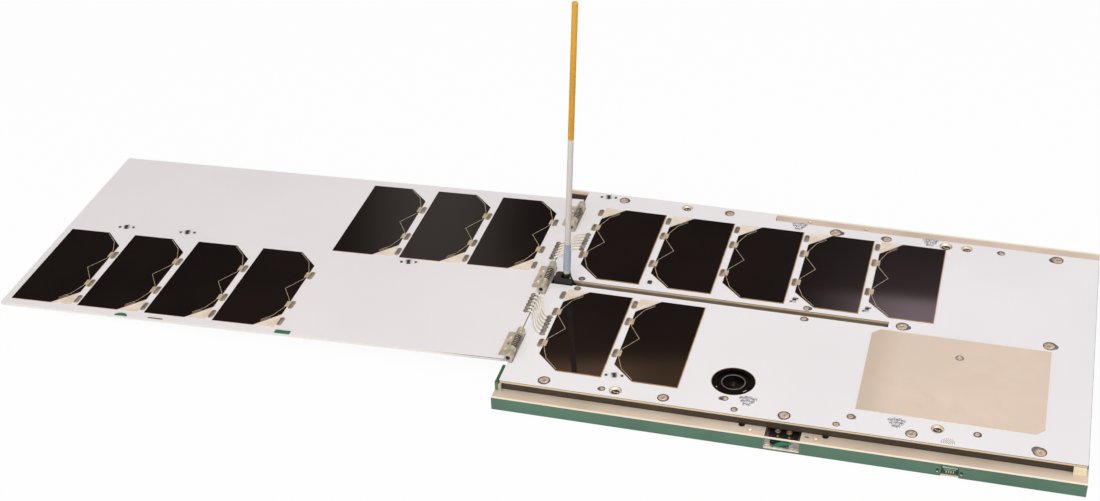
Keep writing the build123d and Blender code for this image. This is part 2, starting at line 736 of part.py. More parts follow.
with BuildPart() as antenna_sleeve:
    with BuildSketch(Plane(origin=antenna_plane.origin, x_dir=antenna_plane.x_dir,
                           z_dir=-antenna_plane.y_dir)):
        Polygon((tube_radius, tube_start), (foot_radius, tube_start),
                (foot_radius, sleeve_start), (sleeve_radius, sleeve_start),
                (sleeve_radius, sleeve_end - sleeve_neck_length - sleeve_taper_length),
                (sleeve_neck_radius, sleeve_end - sleeve_neck_length),
                (sleeve_neck_radius, sleeve_end), (tube_radius, sleeve_end), align=None)
    revolve(axis=Axis(antenna_plane.origin, antenna_plane.z_dir))
antenna_sleeve.part.label = "antenna_sleeve"
export_step(antenna_sleeve.part, "parts/antenna_sleeve.step")

# ---------------------------------------------------------------- wing
with BuildPart() as wing_panel:
    with BuildSketch(wing_plane):
        with Locations((-wing_gap - wing_length / 2, wing_centre)):
            Rectangle(wing_length, wing_width)
        fillet(vertices(), panel_corner)
    extrude(amount=-board_thick)
wing_panel.part.label = "wing_panel"
export_step(wing_panel.part, "parts/wing_panel.step")

with BuildPart() as wing_cells:
    with BuildSketch(wing_plane):
        for outline in placed(turned(CELL), row_places(WING_ROWS)):
            Polygon(*outline, align=None)
    extrude(amount=cell_thick)
wing_cells.part.label = "wing_cells"
export_step(wing_cells.part, "parts/wing_cells.step")

with BuildPart() as wing_diodes:
    with BuildSketch(wing_plane):
        for outline in placed(turned(DIODE), row_places(WING_ROWS)):
            Polygon(*outline, align=None)
    extrude(amount=cell_thick)
wing_diodes.part.label = "wing_diodes"
export_step(wing_diodes.part, "parts/wing_diodes.step")

with BuildPart() as wing_tabs:
    with BuildSketch(wing_plane):
        with Locations(*tabs(row_places(WING_ROWS), cell_breadth + tab_gap + tab_breadth / 2,
                             cell_length, -1)):
            SlotOverall(tab_length, tab_breadth, rotation=90)
    extrude(amount=tab_thick)
wing_tabs.part.label = "wing_tabs"
export_step(wing_tabs.part, "parts/wing_tabs.step")

# ---------------------------------------------------------------- hinges
def axis_plane(y):
    """Looking along the hinge axis from the front, origin on the axis at y."""
    return Plane(origin=(axis_x, y, axis_z), x_dir=(1, 0, 0), z_dir=(0, -1, 0))


half_hinge = hinge_length / 2
wing_knuckle_back = -half_hinge + knuckle_front + face_gap + knuckle_wing

with BuildPart() as hinge_brackets:
    drop = hinge_rise + board_thick + leaf_thick
    for middle in hinge_centres:
        for start, length in ((middle + half_hinge, knuckle_back),
                              (middle - half_hinge + knuckle_front, knuckle_front)):
            with BuildSketch(axis_plane(start)):
                Circle(knuckle_radius)
                # the stem down through the panel's notch, and the foot under the panel
                with Locations(((stem_left + stem_right) / 2 - axis_x, -drop / 2)):
                    Rectangle(stem_right - stem_left, drop)
                with Locations((stem_left - axis_x, -drop)):
                    Rectangle(bracket_foot, leaf_thick, align=Align.MIN)
                Circle(pin_radius + running_gap, mode=Mode.SUBTRACT)
            extrude(amount=length)
        # the strip that joins the two stems
        with BuildSketch(Plane.XY.offset(panel_under)):
            with Locations(((stem_left + stem_right) / 2, middle)):
                Rectangle(stem_right - stem_left, hinge_length)
        extrude(amount=-leaf_thick)
hinge_brackets.part.label = "hinge_brackets"
export_step(hinge_brackets.part, "parts/hinge_brackets.step")

with BuildPart() as hinge_pins:
    for middle in hinge_centres:
        with BuildSketch(axis_plane(middle + half_hinge)):
            Circle(pin_radius)
        extrude(amount=hinge_length - pin_recess)
hinge_pins.part.label = "hinge_pins"
export_step(hinge_pins.part, "parts/hinge_pins.step")

spring_back = half_hinge - knuckle_back - face_gap
spring_length = spring_back - wing_knuckle_back - face_gap
coil_radius = spring_radius - spring_wire
bore_radius = pin_radius + running_gap
coil_step = (spring_length - 2 * spring_wire) / (spring_turns - 1)
with BuildPart() as hinge_springs:
    for middle in hinge_centres:
        with BuildSketch(Plane(origin=(axis_x, middle + spring_back, axis_z))):
            with Locations(((bore_radius + coil_radius) / 2, -spring_length / 2)):
                Rectangle(coil_radius - bore_radius, spring_length)
            with Locations(*[(coil_radius, -spring_wire - turn * coil_step)
                             for turn in range(spring_turns)]):
                Circle(spring_wire)
        revolve(axis=Axis((axis_x, 0, axis_z), (0, 1, 0)))
hinge_springs.part.label = "hinge_springs"
export_step(hinge_springs.part, "parts/hinge_springs.step")

with BuildPart() as hinge_leaves:
    for middle in hinge_centres:
        knuckle_start = middle + wing_knuckle_back
        with BuildSketch(wing_plane):
            with Locations((-leaf_start - leaf_breadth / 2, middle + leaf_shift)):
                Rectangle(leaf_breadth, leaf_length)
            with Locations((hinge_inset, knuckle_start)):
                Rectangle(hinge_inset + leaf_start + leaf_breadth / 2, knuckle_wing, align=Align.MAX)
        extrude(amount=leaf_thick)
        # the knuckle stands on its arm by a web
        with BuildSketch(axis_plane(knuckle_start)):
            Circle(knuckle_radius)
            Rectangle(knuckle_radius, hinge_rise, align=Align.MAX)
        extrude(amount=knuckle_wing)
        with BuildSketch(axis_plane(knuckle_start)):
            Circle(bore_radius)
        extrude(amount=knuckle_wing, mode=Mode.SUBTRACT)
hinge_leaves.part.label = "hinge_leaves"
export_step(hinge_leaves.part, "parts/hinge_leaves.step")


# ---------------------------------------------------------------- wires across the hinge line
def bend_radii(points):
    """The largest arcs that the runs of a route allow, one for each bend."""
    radii = []
    for before, corner, after in zip(points, points[1:], points[2:]):
        run_in, run_out = Vector(*corner) - Vector(*before), Vector(*after) - Vector(*corner)
        half_turn = radians(run_in.get_angle(run_out)) / 2
        radii.append(bend_share * min(run_in.length, run_out.length) / tan(half_turn))
    return radii


def wire_routes(wing_y, body_y, side):
    """The corners of every wire in a bundle, from the wing's pad to the body's."""
    start_x = panel_left - wing_pad_inset
    return [[(start_x + along * (body_pad_x - start_x),
              wing_y + side * i * wire_pitch + across * (body_y - wing_y),
              body_height + height) for along, across, height in WIRE_ROUTE]
            for i in range(wire_count)]


def pad_places(pad_x, first_y, side):
    return [(pad_x, first_y + side * i * wire_pitch) for i in range(wire_count)]


with BuildPart() as wires_front:
    for route in wire_routes(*FRONT_WIRES):
        with BuildLine() as run:
            FilletPolyline(*route, radius=bend_radii(route))
        with BuildSketch(Plane(origin=run.line @ 0, z_dir=run.line % 0)):
            Circle(wire_radius)
        sweep(path=run.line)
wires_front.part.label = "wires_front"
export_step(wires_front.part, "parts/wires_front.step")

with BuildPart() as wires_back:
    for route in wire_routes(*BACK_WIRES):
        with BuildLine() as run:
            FilletPolyline(*route, radius=bend_radii(route))
        with BuildSketch(Plane(origin=run.line @ 0, z_dir=run.line % 0)):
            Circle(wire_radius)
        sweep(path=run.line)
wires_back.part.label = "wires_back"
export_step(wires_back.part, "parts/wires_back.step")

coax_route = [(pivot_x + x, slot_middle + y, pivot_z + z) for x, y, z in COAX_ROUTE]
with BuildPart() as antenna_coax:
    with BuildLine() as run:
        FilletPolyline(*coax_route, radius=bend_radii(coax_route))
    with BuildSketch(Plane(origin=run.line @ 0, z_dir=run.line % 0)):
        Circle(coax_radius)
    sweep(path=run.line)
antenna_coax.part.label = "antenna_coax"
export_step(antenna_coax.part, "parts/antenna_coax.step")

# the solder joints that the wires end in
with BuildPart() as body_wire_pads:
    with BuildSketch(Plane.XY.offset(body_height)):
        with Locations(*[place for _, first_y, side in (FRONT_WIRES, BACK_WIRES)
                         for place in pad_places(body_pad_x + pad_offset, first_y, side)]):
            Rectangle(wire_pad_length, wire_pad_breadth)
    extrude(amount=wire_pad_thick)
body_wire_pads.part.label = "body_wire_pads"
export_step(body_wire_pads.part, "parts/body_wire_pads.step")

with BuildPart() as wing_wire_pads:
    with BuildSketch(wing_plane):
        with Locations(*[place for first_y, _, side in (FRONT_WIRES, BACK_WIRES)
                         for place in pad_places(-wing_pad_inset - pad_offset, first_y, side)]):
            Rectangle(wire_pad_length, wire_pad_breadth)
    extrude(amount=wire_pad_thick)
wing_wire_pads.part.label = "wing_wire_pads"
export_step(wing_wire_pads.part, "parts/wing_wire_pads.step")
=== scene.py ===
from math import cos, pi, radians, sin

import bmesh
import bpy
from mathutils import Matrix, Vector


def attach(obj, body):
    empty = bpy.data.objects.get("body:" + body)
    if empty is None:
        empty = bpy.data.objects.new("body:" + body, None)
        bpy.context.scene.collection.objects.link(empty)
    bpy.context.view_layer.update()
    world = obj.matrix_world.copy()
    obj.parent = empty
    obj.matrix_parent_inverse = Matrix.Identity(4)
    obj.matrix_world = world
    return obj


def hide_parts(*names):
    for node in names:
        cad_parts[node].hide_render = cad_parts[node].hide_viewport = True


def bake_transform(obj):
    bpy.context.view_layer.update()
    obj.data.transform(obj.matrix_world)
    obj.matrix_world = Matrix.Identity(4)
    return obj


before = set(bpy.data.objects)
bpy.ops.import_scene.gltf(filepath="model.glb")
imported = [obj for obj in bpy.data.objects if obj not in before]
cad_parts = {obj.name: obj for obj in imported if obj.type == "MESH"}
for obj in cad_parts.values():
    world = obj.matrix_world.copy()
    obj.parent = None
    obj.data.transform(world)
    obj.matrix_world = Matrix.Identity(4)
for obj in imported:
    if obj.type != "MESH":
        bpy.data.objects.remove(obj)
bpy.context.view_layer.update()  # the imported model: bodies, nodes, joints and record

# Lengths below are millimetres unless a name says otherwise; meshes are scaled to metres on the
# way into Blender. X runs along the body to the right, Y to the back, Z up.
MM = 0.001

# ---------------- places taken from the CAD
PANEL_TOP = 14.1  # over the tray's underside
LEDGE = 8.2  # top of the tray's rails
BOARD = 1.6  # how thick the white board is
PANEL_LEFT = -164.2
HINGE_X, HINGE_Z = -164.0, 17.1
HINGE_MIDDLES = (-72.6, -1.6, 69.4)
PIVOT = (-152.2, -0.4, 11.7)  # where the antenna turns
ANTENNA_LEAN = radians(2.9)
WING_DROOP = radians(2.122)
CELL_LENGTH, CELL_BREADTH, CELL_PITCH, CELL_THICK = 80.15, 40.15, 45.0, 0.3
CELL_CROP = 14  # room that a cell's cropped corner takes from an edge
# rows of cells: left end, front edge and number of cells
BODY_ROWS = ((-148.4, 6.7, 5), (-148.4, -88.45, 2))
WING_ROWS = ((-324.6, -78.6, 4), (-144.6, 6.9, 3))
LENS = (-33.4, -75.0)
FEED = (90.1, -24.5)  # the patch antenna's solder joint
SPRING_BACK, SPRING_LENGTH = 7.9, 12.3  # a spring's back end from its hinge's middle
CHANNEL_MIDDLE, CHANNEL_LENGTH = -50.6, 192.6
PORT_X = 93.6  # the service connector's middle
FRONT_FACE = -113.7

# frames: the whole part, the panel's top face, the wing's top face from the panel's left edge,
# and the front side with X to the right, Y up and Z to the front
WHOLE = Matrix.Identity(4)
TOP = Matrix.Translation((0, 0, PANEL_TOP))
WING = Matrix.Translation((PANEL_LEFT, 0, PANEL_TOP)) @ Matrix.Rotation(-WING_DROOP, 4, "Y")
FRONT = Matrix.Translation((0, FRONT_FACE, 0)) @ Matrix.Rotation(pi / 2, 4, "X")

# ---------------- camera
CAMERA_PLACE = (0.1065, -0.9029, 0.6661)  # metres
CAMERA_RIGHT = (0.97156629, 0.23663339, -0.00797348)
CAMERA_UP = (-0.12537043, 0.54272835, 0.83049876)


def aim(thing, place, right, up):
    """Puts a camera or light at a place in metres, turned by its right and up directions."""
    right, up = Vector(right).normalized(), Vector(up).normalized()
    back = right.cross(up)
    turn = Matrix((right, up, back)).transposed().to_4x4()
    thing.matrix_world = Matrix.Translation(place) @ turn


camera_data = bpy.data.cameras.new("camera")
camera_data.sensor_width = 36.0
camera_data.lens = 60.71
camera_data.shift_x = -0.0629
camera_data.clip_start = 0.05
camera = bpy.data.objects.new("camera", camera_data)
bpy.context.collection.objects.link(camera)
aim(camera, CAMERA_PLACE, CAMERA_RIGHT, CAMERA_UP)
bpy.context.scene.camera = camera


# ---------------- shader tools
def shade(code):
    """A web colour as the linear colour that Blender works in."""
    parts = [int(code[i:i + 2], 16) / 255 for i in (0, 2, 4)]
    linear = [c / 12.92 if c <= 0.04045 else ((c + 0.055) / 1.055) ** 2.4 for c in parts]
    return (*linear, 1.0)


class Value:
    """A shader output with arithmetic: each operator adds a Math node."""

    def __init__(self, graph, socket):
        self.graph, self.socket = graph, socket

    def math(self, operation, other=None, swap=False):
        terms = (other, self) if swap else (self, other)
        return self.graph.node("Math", 0, {"operation": operation}, terms)

    def __add__(self, other): return self.math("ADD", other)
    def __radd__(self, other): return self.math("ADD", other, swap=True)
    def __sub__(self, other): return self.math("SUBTRACT", other)
    def __rsub__(self, other): return self.math("SUBTRACT", other, swap=True)
    def __mul__(self, other): return self.math("MULTIPLY", other)
    def __rmul__(self, other): return self.math("MULTIPLY", other, swap=True)
    def __gt__(self, other): return self.math("GREATER_THAN", other)
    def __lt__(self, other): return self.math("LESS_THAN", other)
    def __abs__(self): return self.math("ABSOLUTE")
    def most(self, other): return self.math("MAXIMUM", other)
    def repeat(self, length): return self.math("MODULO", length)
    def root(self): return self.math("SQRT")

    def ramp(self, low, high):
        """0 below low, 1 above high and smooth between."""
        return self.graph.node("MapRange", 0, {"interpolation_type": "SMOOTHSTEP"},
                               Value=self, From_Min=low, From_Max=high)


def socket_name(key):
    """A keyword such as coat_weight as the socket's own name."""
    return key.replace("_", " ").title().replace("Ior", "IOR")


class Graph:
    """A node tree, with one way to make a node and one to join two."""

    def __init__(self, tree):
        self.tree = tree

    def join(self, term, slot):
        """Links a value to a socket or sets the socket; None leaves it alone."""
        if isinstance(term, Value):
            self.tree.links.new(term.socket, slot)
        elif term is not None:
            slot.default_value = term

    def node(self, kind, output=0, settings=(), terms=(), **inputs):
        """Makes a node: first its settings, then its sockets, by their order or by name."""
        made = self.tree.nodes.new("ShaderNode" + kind)
        for key, choice in dict(settings).items():
            setattr(made, key, choice)
        for term, slot in zip(terms, made.inputs):
            self.join(term, slot)
        for key, term in inputs.items():
            self.join(term, made.inputs[socket_name(key) if "_" in key else key])
        return Value(self, made.outputs[output])

    def mix(self, amount, first, second):
        """A colour between two: web codes or colours made by this method."""
        colors = [shade(term) if isinstance(term, str) else term for term in (first, second)]
        return self.node("Mix", 2, {"data_type": "RGBA"}, (amount, *[None] * 5, *colors))

    def blend(self, amount, first, second):
        """A shader between two."""
        return self.node("MixShader", terms=(amount, first, second))

    def show(self, shader, kind):
        """Sends a shader to the surface of the material or world."""
        made = self.tree.nodes.new("ShaderNodeOutput" + kind)
        self.join(shader, made.inputs["Surface"])


LOOKS = {}  # every material of the part, by its name
EDGE_LEAN = 0.6  # a face that looks less than this along an axis counts as a cut edge


class Look(Graph):
    """A material made from one Principled shader and a few nodes that feed it."""

    def __init__(self, name, color, roughness, metallic=0.0, **fixed):
        LOOKS[name] = self
        self.material = bpy.data.materials.new(name)
        self.material.use_nodes = True
        super().__init__(self.material.node_tree)
        self.shader = self.tree.nodes["Principled BSDF"]
        self.shader.inputs["Base Color"].default_value = shade(color)
        self.shader.inputs["Roughness"].default_value = roughness
        self.shader.inputs["Metallic"].default_value = metallic
        for key, amount in fixed.items():
            self.shader.inputs[socket_name(key)].default_value = amount

    def place(self):
        """A point's place on its object, in metres."""
        return self.node("TexCoord", "Object")

    def axis(self, name):
        """One coordinate of a point, in metres."""
        return self.node("SeparateXYZ", name, Vector=self.place())

    def along(self, direction):
        """How far a point lies along a direction, in metres."""
        return self.node("VectorMath", "Value", {"operation": "DOT_PRODUCT"},
                         (self.place(), direction))

    def cut_edge(self, name="Z"):
        """1 where the bare face doesn't look along an axis of its object, and 0 elsewhere."""
        facing = self.node("SeparateXYZ", name, Vector=self.node("TexCoord", "Normal"))
        return abs(facing) < EDGE_LEAN

    def noise(self, scale, detail=3.0, stretch=(1, 1, 1), rough=0.5):
        """A cloudy value from 0 to 1; scale counts its blobs in a metre, detail its octaves."""
        where = self.node("Mapping", Vector=self.place(), Scale=stretch)
        return self.node("TexNoise", "Fac", Vector=where, Scale=scale, Detail=detail,
                         Roughness=rough)

    def face(self):
        """The colour that feeds Base Color so far."""
        return Value(self, self.shader.inputs["Base Color"].links[0].from_socket)

    def feed(self, **values):
        for key, term in values.items():
            self.join(term, self.shader.inputs[socket_name(key)])
        return self

    def bump(self, height, depth, strength):
        """Fine relief of the depth in metres."""
        normal = self.node("Bump", Strength=strength, Distance=depth, Height=height)
        return self.feed(normal=normal)


# ---------------- materials
LIP_TOP, LIP_BOTTOM = -0.4, -1.4  # the outer layers of a board's cut edge end here
LIP_FADE = 30  # length over which they take on their own tone
LILAC_END = 165.0  # the panel's right end, with a lilac cut edge


def board_look(name, face, normal, level, edge, lip_edge, lip_start):
    """A white lacquered circuit board: satin face, raw cut edges in two tones."""
    look = Look(name, face, 0.42, specular_ior_level=0.4)
    soft = look.noise(9.0, 2.0)
    fine = look.noise(240.0, 4.0)
    depth = look.along(normal) - level * MM
    lip = (depth > LIP_TOP * MM).most(depth < LIP_BOTTOM * MM)
    along = look.axis("X")
    lip_tone = lip * along.ramp(lip_start * MM, (lip_start + LIP_FADE) * MM)
    edge = look.mix(along > LILAC_END * MM, look.mix(lip_tone, edge, lip_edge), "A79CB2")
    skin = look.mix(soft.ramp(0.35, 0.75) * 0.35, face, "E0DCDC")
    look.feed(base_color=look.mix(look.cut_edge(), skin, edge), roughness=0.36 + fine * 0.12)
    return look.bump(fine, 0.00003, 0.3)


wing_normal = (-sin(WING_DROOP), 0.0, cos(WING_DROOP))
wing_level = PANEL_LEFT * wing_normal[0] + PANEL_TOP * wing_normal[2]
board_look("white_board", "ECE9E9", (0, 0, 1), PANEL_TOP, "DCC9A8", "8C735C", -500)
board_look("wing_board", "EAE5E5", wing_normal, wing_level, "EDE6DF", "6E655A", -215)

FINGER_PITCH, FINGER_HALF = 1.25, 0.05  # the cells' hair-thin conductors


def cell_look(name, start_x):
    """A solar cell: near black under cover glass, with faint fingers and a brown cut edge.

    The fingers are counted from start_x, which lies left of every cell or on the first one.
    """
    look = Look(name, "0A0708", 0.14, coat_weight=0.9, coat_roughness=0.035,
                specular_ior_level=0.12)
    along = look.axis("X")
    finger = (along - start_x * MM).repeat(FINGER_PITCH * MM) < FINGER_HALF * MM
    cloud = look.noise(14.0, 3.0)
    fine = look.noise(900.0, 2.0)
    dark = look.mix(cloud.ramp(0.3, 0.75), "0A0808", "140E0E")
    face = look.mix(finger * 0.16, dark, "3A302C")
    look.feed(base_color=look.mix(look.cut_edge(), face, "9A6A3C"),
              roughness=0.12 + cloud * 0.06)
    return look.bump(fine, 0.00001, 0.15)


cell_look("cell_face", BODY_ROWS[0][0])
cell_look("wing_cell_face", -490.0)

diode = Look("diode_cream", "E6D7C4", 0.4)
diode.feed(base_color=diode.mix(diode.noise(160.0, 4.0).ramp(0.3, 0.8), "EBDDCC", "DAC7B0"))
diode.bump(diode.noise(300.0), 0.00005, 0.3)

patch = Look("patch_cream", "E7D0BA", 0.4, metallic=0.08)
patch_cloud = patch.noise(18.0, 5.0, (1.0, 1.6, 1.0), 0.6)
patch_grain = patch.noise(60.0, 6.0)
patch_shade = (1 - patch.axis("X").ramp(38 * MM, 60 * MM)) * 0.4  # darker at its left edge
patch_tone = patch.mix(patch_grain.ramp(0.45, 0.8), "DDCCBA", "D3C1AC")
patch_tone = patch.mix(patch_cloud.ramp(0.35, 0.7), patch_tone, "D8C7B3")
patch.feed(base_color=patch.mix(patch_shade, patch_tone, "AC9A83"),
           roughness=0.34 + patch_grain * 0.18)
patch.bump(patch_grain, 0.00006, 0.25)

rail = Look("rail_metal", "CFC0AC", 0.4, metallic=0.2)
rail_brush = rail.noise(420.0, 3.0, (0.03, 1.0, 1.0))
rail_cloud = rail.noise(22.0, 3.0)
rail.feed(base_color=rail.mix(rail_cloud.ramp(0.3, 0.8), "DACBB8", "C3B39E"),
          roughness=0.36 + rail_brush * 0.2)
rail.bump(rail_brush, 0.00004, 0.35)


def green_look(name, face, deep, edge, flat_along):
    """Green lacquer over glass fibre: copper pours show faintly, cut edges are pale.

    The board's flat faces look along the axis flat_along.
    """
    look = Look(name, face, 0.38, coat_weight=0.25, coat_roughness=0.15)
    weave = look.noise(900.0, 2.0)
    pour = look.node("TexVoronoi", "Distance", {"feature": "DISTANCE_TO_EDGE"},
                     Vector=look.place(), Scale=60.0)
    lines = (pour < 0.03) * 0.25
    tone = look.mix(look.noise(30.0, 3.0).ramp(0.3, 0.8), face, deep)
    lined = look.mix(lines, tone, deep)
    look.feed(base_color=look.mix(look.cut_edge(flat_along), lined, edge),
              roughness=0.32 + weave * 0.14)
    return look.bump(weave, 0.00003, 0.3)


# the side boards' own green, made paler by a painted sheen from the glossy lacquer
green_look("side_green", "52755F", "486A56", "F4E8D2", "Y")
# the base board in the same lacquer, painted darker as the shade it lies in under the panel
green_look("base_green_shaded", "24573B", "1B4A31", "5C7A5A", "Z")

# the skirt: dark metal, its tone partly painted shade under the panel's edge
dark_metal_and_shade = Look("skirt_dark", "2A2520", 0.55, metallic=0.3)
dark_metal_and_shade.feed(base_color=dark_metal_and_shade.mix(dark_metal_and_shade.noise(80.0), "4C4337", "352D25"))
dark_metal_and_shade.bump(dark_metal_and_shade.noise(300.0), 0.00005, 0.3)


def metal_look(name, light, dark, roughness, metallic, scale=140.0, stretch=(1, 1, 1)):
    """A metal or plating in two close tones, with a fine grain that may be stretched."""
    look = Look(name, light, roughness, metallic=metallic)
    grain = look.noise(scale, 4.0, stretch)
    look.feed(base_color=look.mix(grain.ramp(0.3, 0.75), light, dark),
              roughness=roughness - 0.08 + grain * 0.2)
    return look.bump(grain, 0.00005, 0.35)


# name, two tones, roughness, metallic, and the scale and stretch of the grain
for row in (
    ("screw_metal", "C9BDA6", "9C8E79", 0.4, 0.25, 420.0),
    ("hole_rim_and_gap_shadow", "A08D77", "7A6B5A", 0.45, 0.25),
    ("collar_silver", "D5D8CE", "A7ADA0", 0.32, 0.35, 300.0),
    ("hole_shade", "6F6966", "4B4644", 0.3, 0.2, 300.0),
    ("bore_cream", "F1E6CC", "C9B896", 0.35, 0.25),
    ("standoff_metal", "8A7C6A", "5D5145", 0.45, 0.5),
    ("hinge_metal", "CEC5B0", "A79E8A", 0.38, 0.25, 260.0),
    ("pin_metal", "8F887A", "6A6458", 0.35, 0.8),
    ("solder_metal", "8F897E", "5F594F", 0.34, 0.3, 320.0),
    ("bright_solder", "C6C5C2", "8E8C89", 0.28, 0.3, 500.0),
    ("cluster_silver", "E4E4E8", "3E3E45", 0.3, 0.12, 1100.0),
    ("window_frame", "B4B0A4", "88847A", 0.35, 0.35, 300.0),
    ("highlight_grey", "E6E6E4", "BDBDBB", 0.28, 0.2, 300.0),
    ("gold_metal", "8F7C55", "66573A", 0.3, 0.3, 300.0),
    ("test_dot", "9A877B", "77665C", 0.4, 0.1, 300.0),
    ("wire_solder", "8C877C", "565149", 0.4, 0.25, 320.0),
    ("channel_metal", "B8AE9C", "8D8373", 0.4, 0.5, 300.0, (0.03, 1, 1)),
    ("rivet_and_glint_cream", "F0E4D2", "D8C8B0", 0.35, 0.2),
    ("trace_metal", "D8CCAB", "AFA383", 0.32, 0.3, 400.0),
    ("copper_line", "B08A58", "7E6040", 0.35, 0.3),
):
    metal_look(*row)

# painted highlight: the spring wire is bright on the outside of its turns only, and painted near
# black as shade on their inside
spring = Look("spring_wire", "4A4038", 0.34, metallic=0.15)
across, over = spring.axis("X") - HINGE_X * MM, spring.axis("Z") - HINGE_Z * MM
from_axis = (across * across + over * over).root()
spring.feed(base_color=spring.mix(from_axis.ramp(1.8 * MM, 1.92 * MM), "0F0C0A", "EBE1CC"))


def plastic_look(name, light, dark, roughness, scale=60.0, detail=4.0, **fixed):
    """A plastic or lacquer in two close tones."""
    look = Look(name, light, roughness, **fixed)
    cloud = look.noise(scale, detail)
    fine = look.noise(scale * 9, 2.0)
    look.feed(base_color=look.mix(cloud.ramp(0.3, 0.8), light, dark),
              roughness=roughness - 0.05 + fine * 0.12)
    return look.bump(fine, 0.00003, 0.35)


# name, two tones, roughness and scale
for row in (
    ("black_plastic", "141312", "0B0A0A", 0.42),
    ("lens_ring", "5A5A5C", "3E3E40", 0.35),
    ("lens_glint_grey", "B9BABC", "8F9093", 0.3),
    ("lever_green", "4E7F62", "356048", 0.35),
    ("wire_cream", "F4EEE3", "E3D6C3", 0.38, 300.0),
    ("cable_black", "161514", "0D0C0C", 0.4, 300.0),
    ("part_dark", "2B2425", "151112", 0.35, 500.0),
    ("port_green", "2C5A45", "1D4434", 0.4),
    ("port_shade", "24473A", "16302A", 0.4),
    ("strip_green", "A9C7AE", "86AB90", 0.4),
    ("green_tab", "2F7A5A", "1F5F45", 0.35, 200.0),
    ("whip_orange", "E2A322", "D39413", 0.42, 30.0),
    ("sleeve_blue", "A3AFC0", "95A2B4", 0.4, 90.0),
    ("battery_wrap", "2B3038", "22262C", 0.5),
):
    plastic_look(*row)
plastic_look("lens_black_and_shade", "030303", "010101", 0.12, specular_ior_level=0.12)
plastic_look("lens_dark", "020203", "010101", 0.06, specular_ior_level=0.2)
cream = plastic_look("cream_block", "F0E3C4", "E2D0A8", 0.4, detail=3.0)
# painted shade: the posts left of the middle are greyer
cream.feed(base_color=cream.mix(cream.axis("X") < 0.0, cream.face(), "B9B5AC"))
plastic_look("tab_cream", "CDBA9F", "AE9B80", 0.35, 200.0, metallic=0.1)
plastic_look("tube_pale", "D9D2CB", "CFC6BC", 0.33, 40.0, subsurface_weight=0.1,
             subsurface_radius=(0.004, 0.003, 0.002))

# each look, and the CAD's nodes that have it
NODE_LOOKS = {
    "rail_metal": "base_tray", "black_plastic": "corner_block release_switch antenna_block",
    "side_green": "side_board_front side_board_back", "base_green_shaded": "base_board",
    "battery_wrap": "battery_pack", "skirt_dark": "skirt",
    "white_board": "body_panel body_panel_front body_panel_back", "standoff_metal": "stand_offs",
    "screw_metal": "panel_screws", "cell_face": "body_cells",
    "diode_cream": "body_diodes wing_diodes", "solder_metal": "body_tabs wing_tabs",
    "patch_cream": "patch_antenna", "lens_black_and_shade": "lens_barrel", "lens_dark": "lens_glass",
    "window_frame": "release_bracket", "lever_green": "release_lever",
    "port_green": "service_connector", "cream_block": "gap_posts",
    "channel_metal": "channel_strip channel_walls", "pin_metal": "antenna_pin hinge_pins",
    "hinge_metal": "hinge_brackets hinge_leaves", "spring_wire": "hinge_springs",
    "wire_cream": "wires_front wires_back", "cable_black": "antenna_coax",
    "wire_solder": "body_wire_pads wing_wire_pads", "wing_board": "wing_panel",
    "wing_cell_face": "wing_cells", "tube_pale": "antenna_tube", "whip_orange": "antenna_whip",
    "sleeve_blue": "antenna_sleeve",
}
for look_name in ("tube_pale", "whip_orange", "sleeve_blue"):  # painted shade: near black where the cells' glass mirrors them
    look = LOOKS[look_name]
    mirrored = look.node("LightPath", "Is Glossy Ray")
    look.feed(base_color=look.mix(mirrored * 0.9, look.face(), "14161C"))
for look_name, nodes in NODE_LOOKS.items():
    for node_name in nodes.split():
        for material_slot in bpy.data.objects[node_name].material_slots:
            material_slot.material = LOOKS[look_name].material


# ---------------- mesh tools
def add_piece(name, mesh, look, body="body", smooth=False):
    """Scales a bmesh in millimetres to metres and adds it to the scene as a piece.

    look is a name in LOOKS. A piece that blends between two bodies has None for its body.
    """
    bmesh.ops.recalc_face_normals(mesh, faces=mesh.faces)
    bmesh.ops.scale(mesh, vec=(MM, MM, MM), verts=mesh.verts)
    data = bpy.data.meshes.new(name)
    mesh.to_mesh(data)
    mesh.free()
    data.polygons.foreach_set("use_smooth", [smooth] * len(data.polygons))
    thing = bpy.data.objects.new(name, data)
    bpy.context.collection.objects.link(thing)
    data.materials.append(LOOKS[look].material)
    if body:
        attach(thing, body)
    return thing


def loops_to_skin(mesh, loops):
    """Joins loops of equal length into a tube, with its ends filled."""
    rows = [[mesh.verts.new(point) for point in loop] for loop in loops]
    for low, high in zip(rows, rows[1:]):
        for i in range(len(low)):
            j = (i + 1) % len(low)
            mesh.faces.new((low[i], low[j], high[j], high[i]))
    mesh.faces.new(rows[0])
    mesh.faces.new(rows[-1])


def middle_of(outline):
    """The mean of an outline's corners."""
    return Vector((sum(x for x, _ in outline), sum(y for _, y in outline))) / len(outline)


def slab(mesh, place, outline, low, high, soft=0.0):
    """A flat piece with an outline, its top edge eased by the amount soft."""
    middle = middle_of(outline)
    loops = [[(x, y, low) for x, y in outline], [(x, y, high - soft) for x, y in outline]]
    if soft:
        shrunk = []
        for x, y in outline:
            away = Vector((x, y)) - middle
            shrunk.append(middle + away * max(0.0, 1 - 1.4 * soft / max(away.length, soft)))
        loops.append([(p.x, p.y, high) for p in shrunk])
    loops_to_skin(mesh, [[place @ Vector(p) for p in loop] for loop in loops])


def rectangle(x, y, length, breadth):
    """An outline about its middle."""
    a, b = length / 2, breadth / 2
    return [(x - a, y - b), (x + a, y - b), (x + a, y + b), (x - a, y + b)]


ROUND_STEPS = 7  # in each rounded end of a capsule


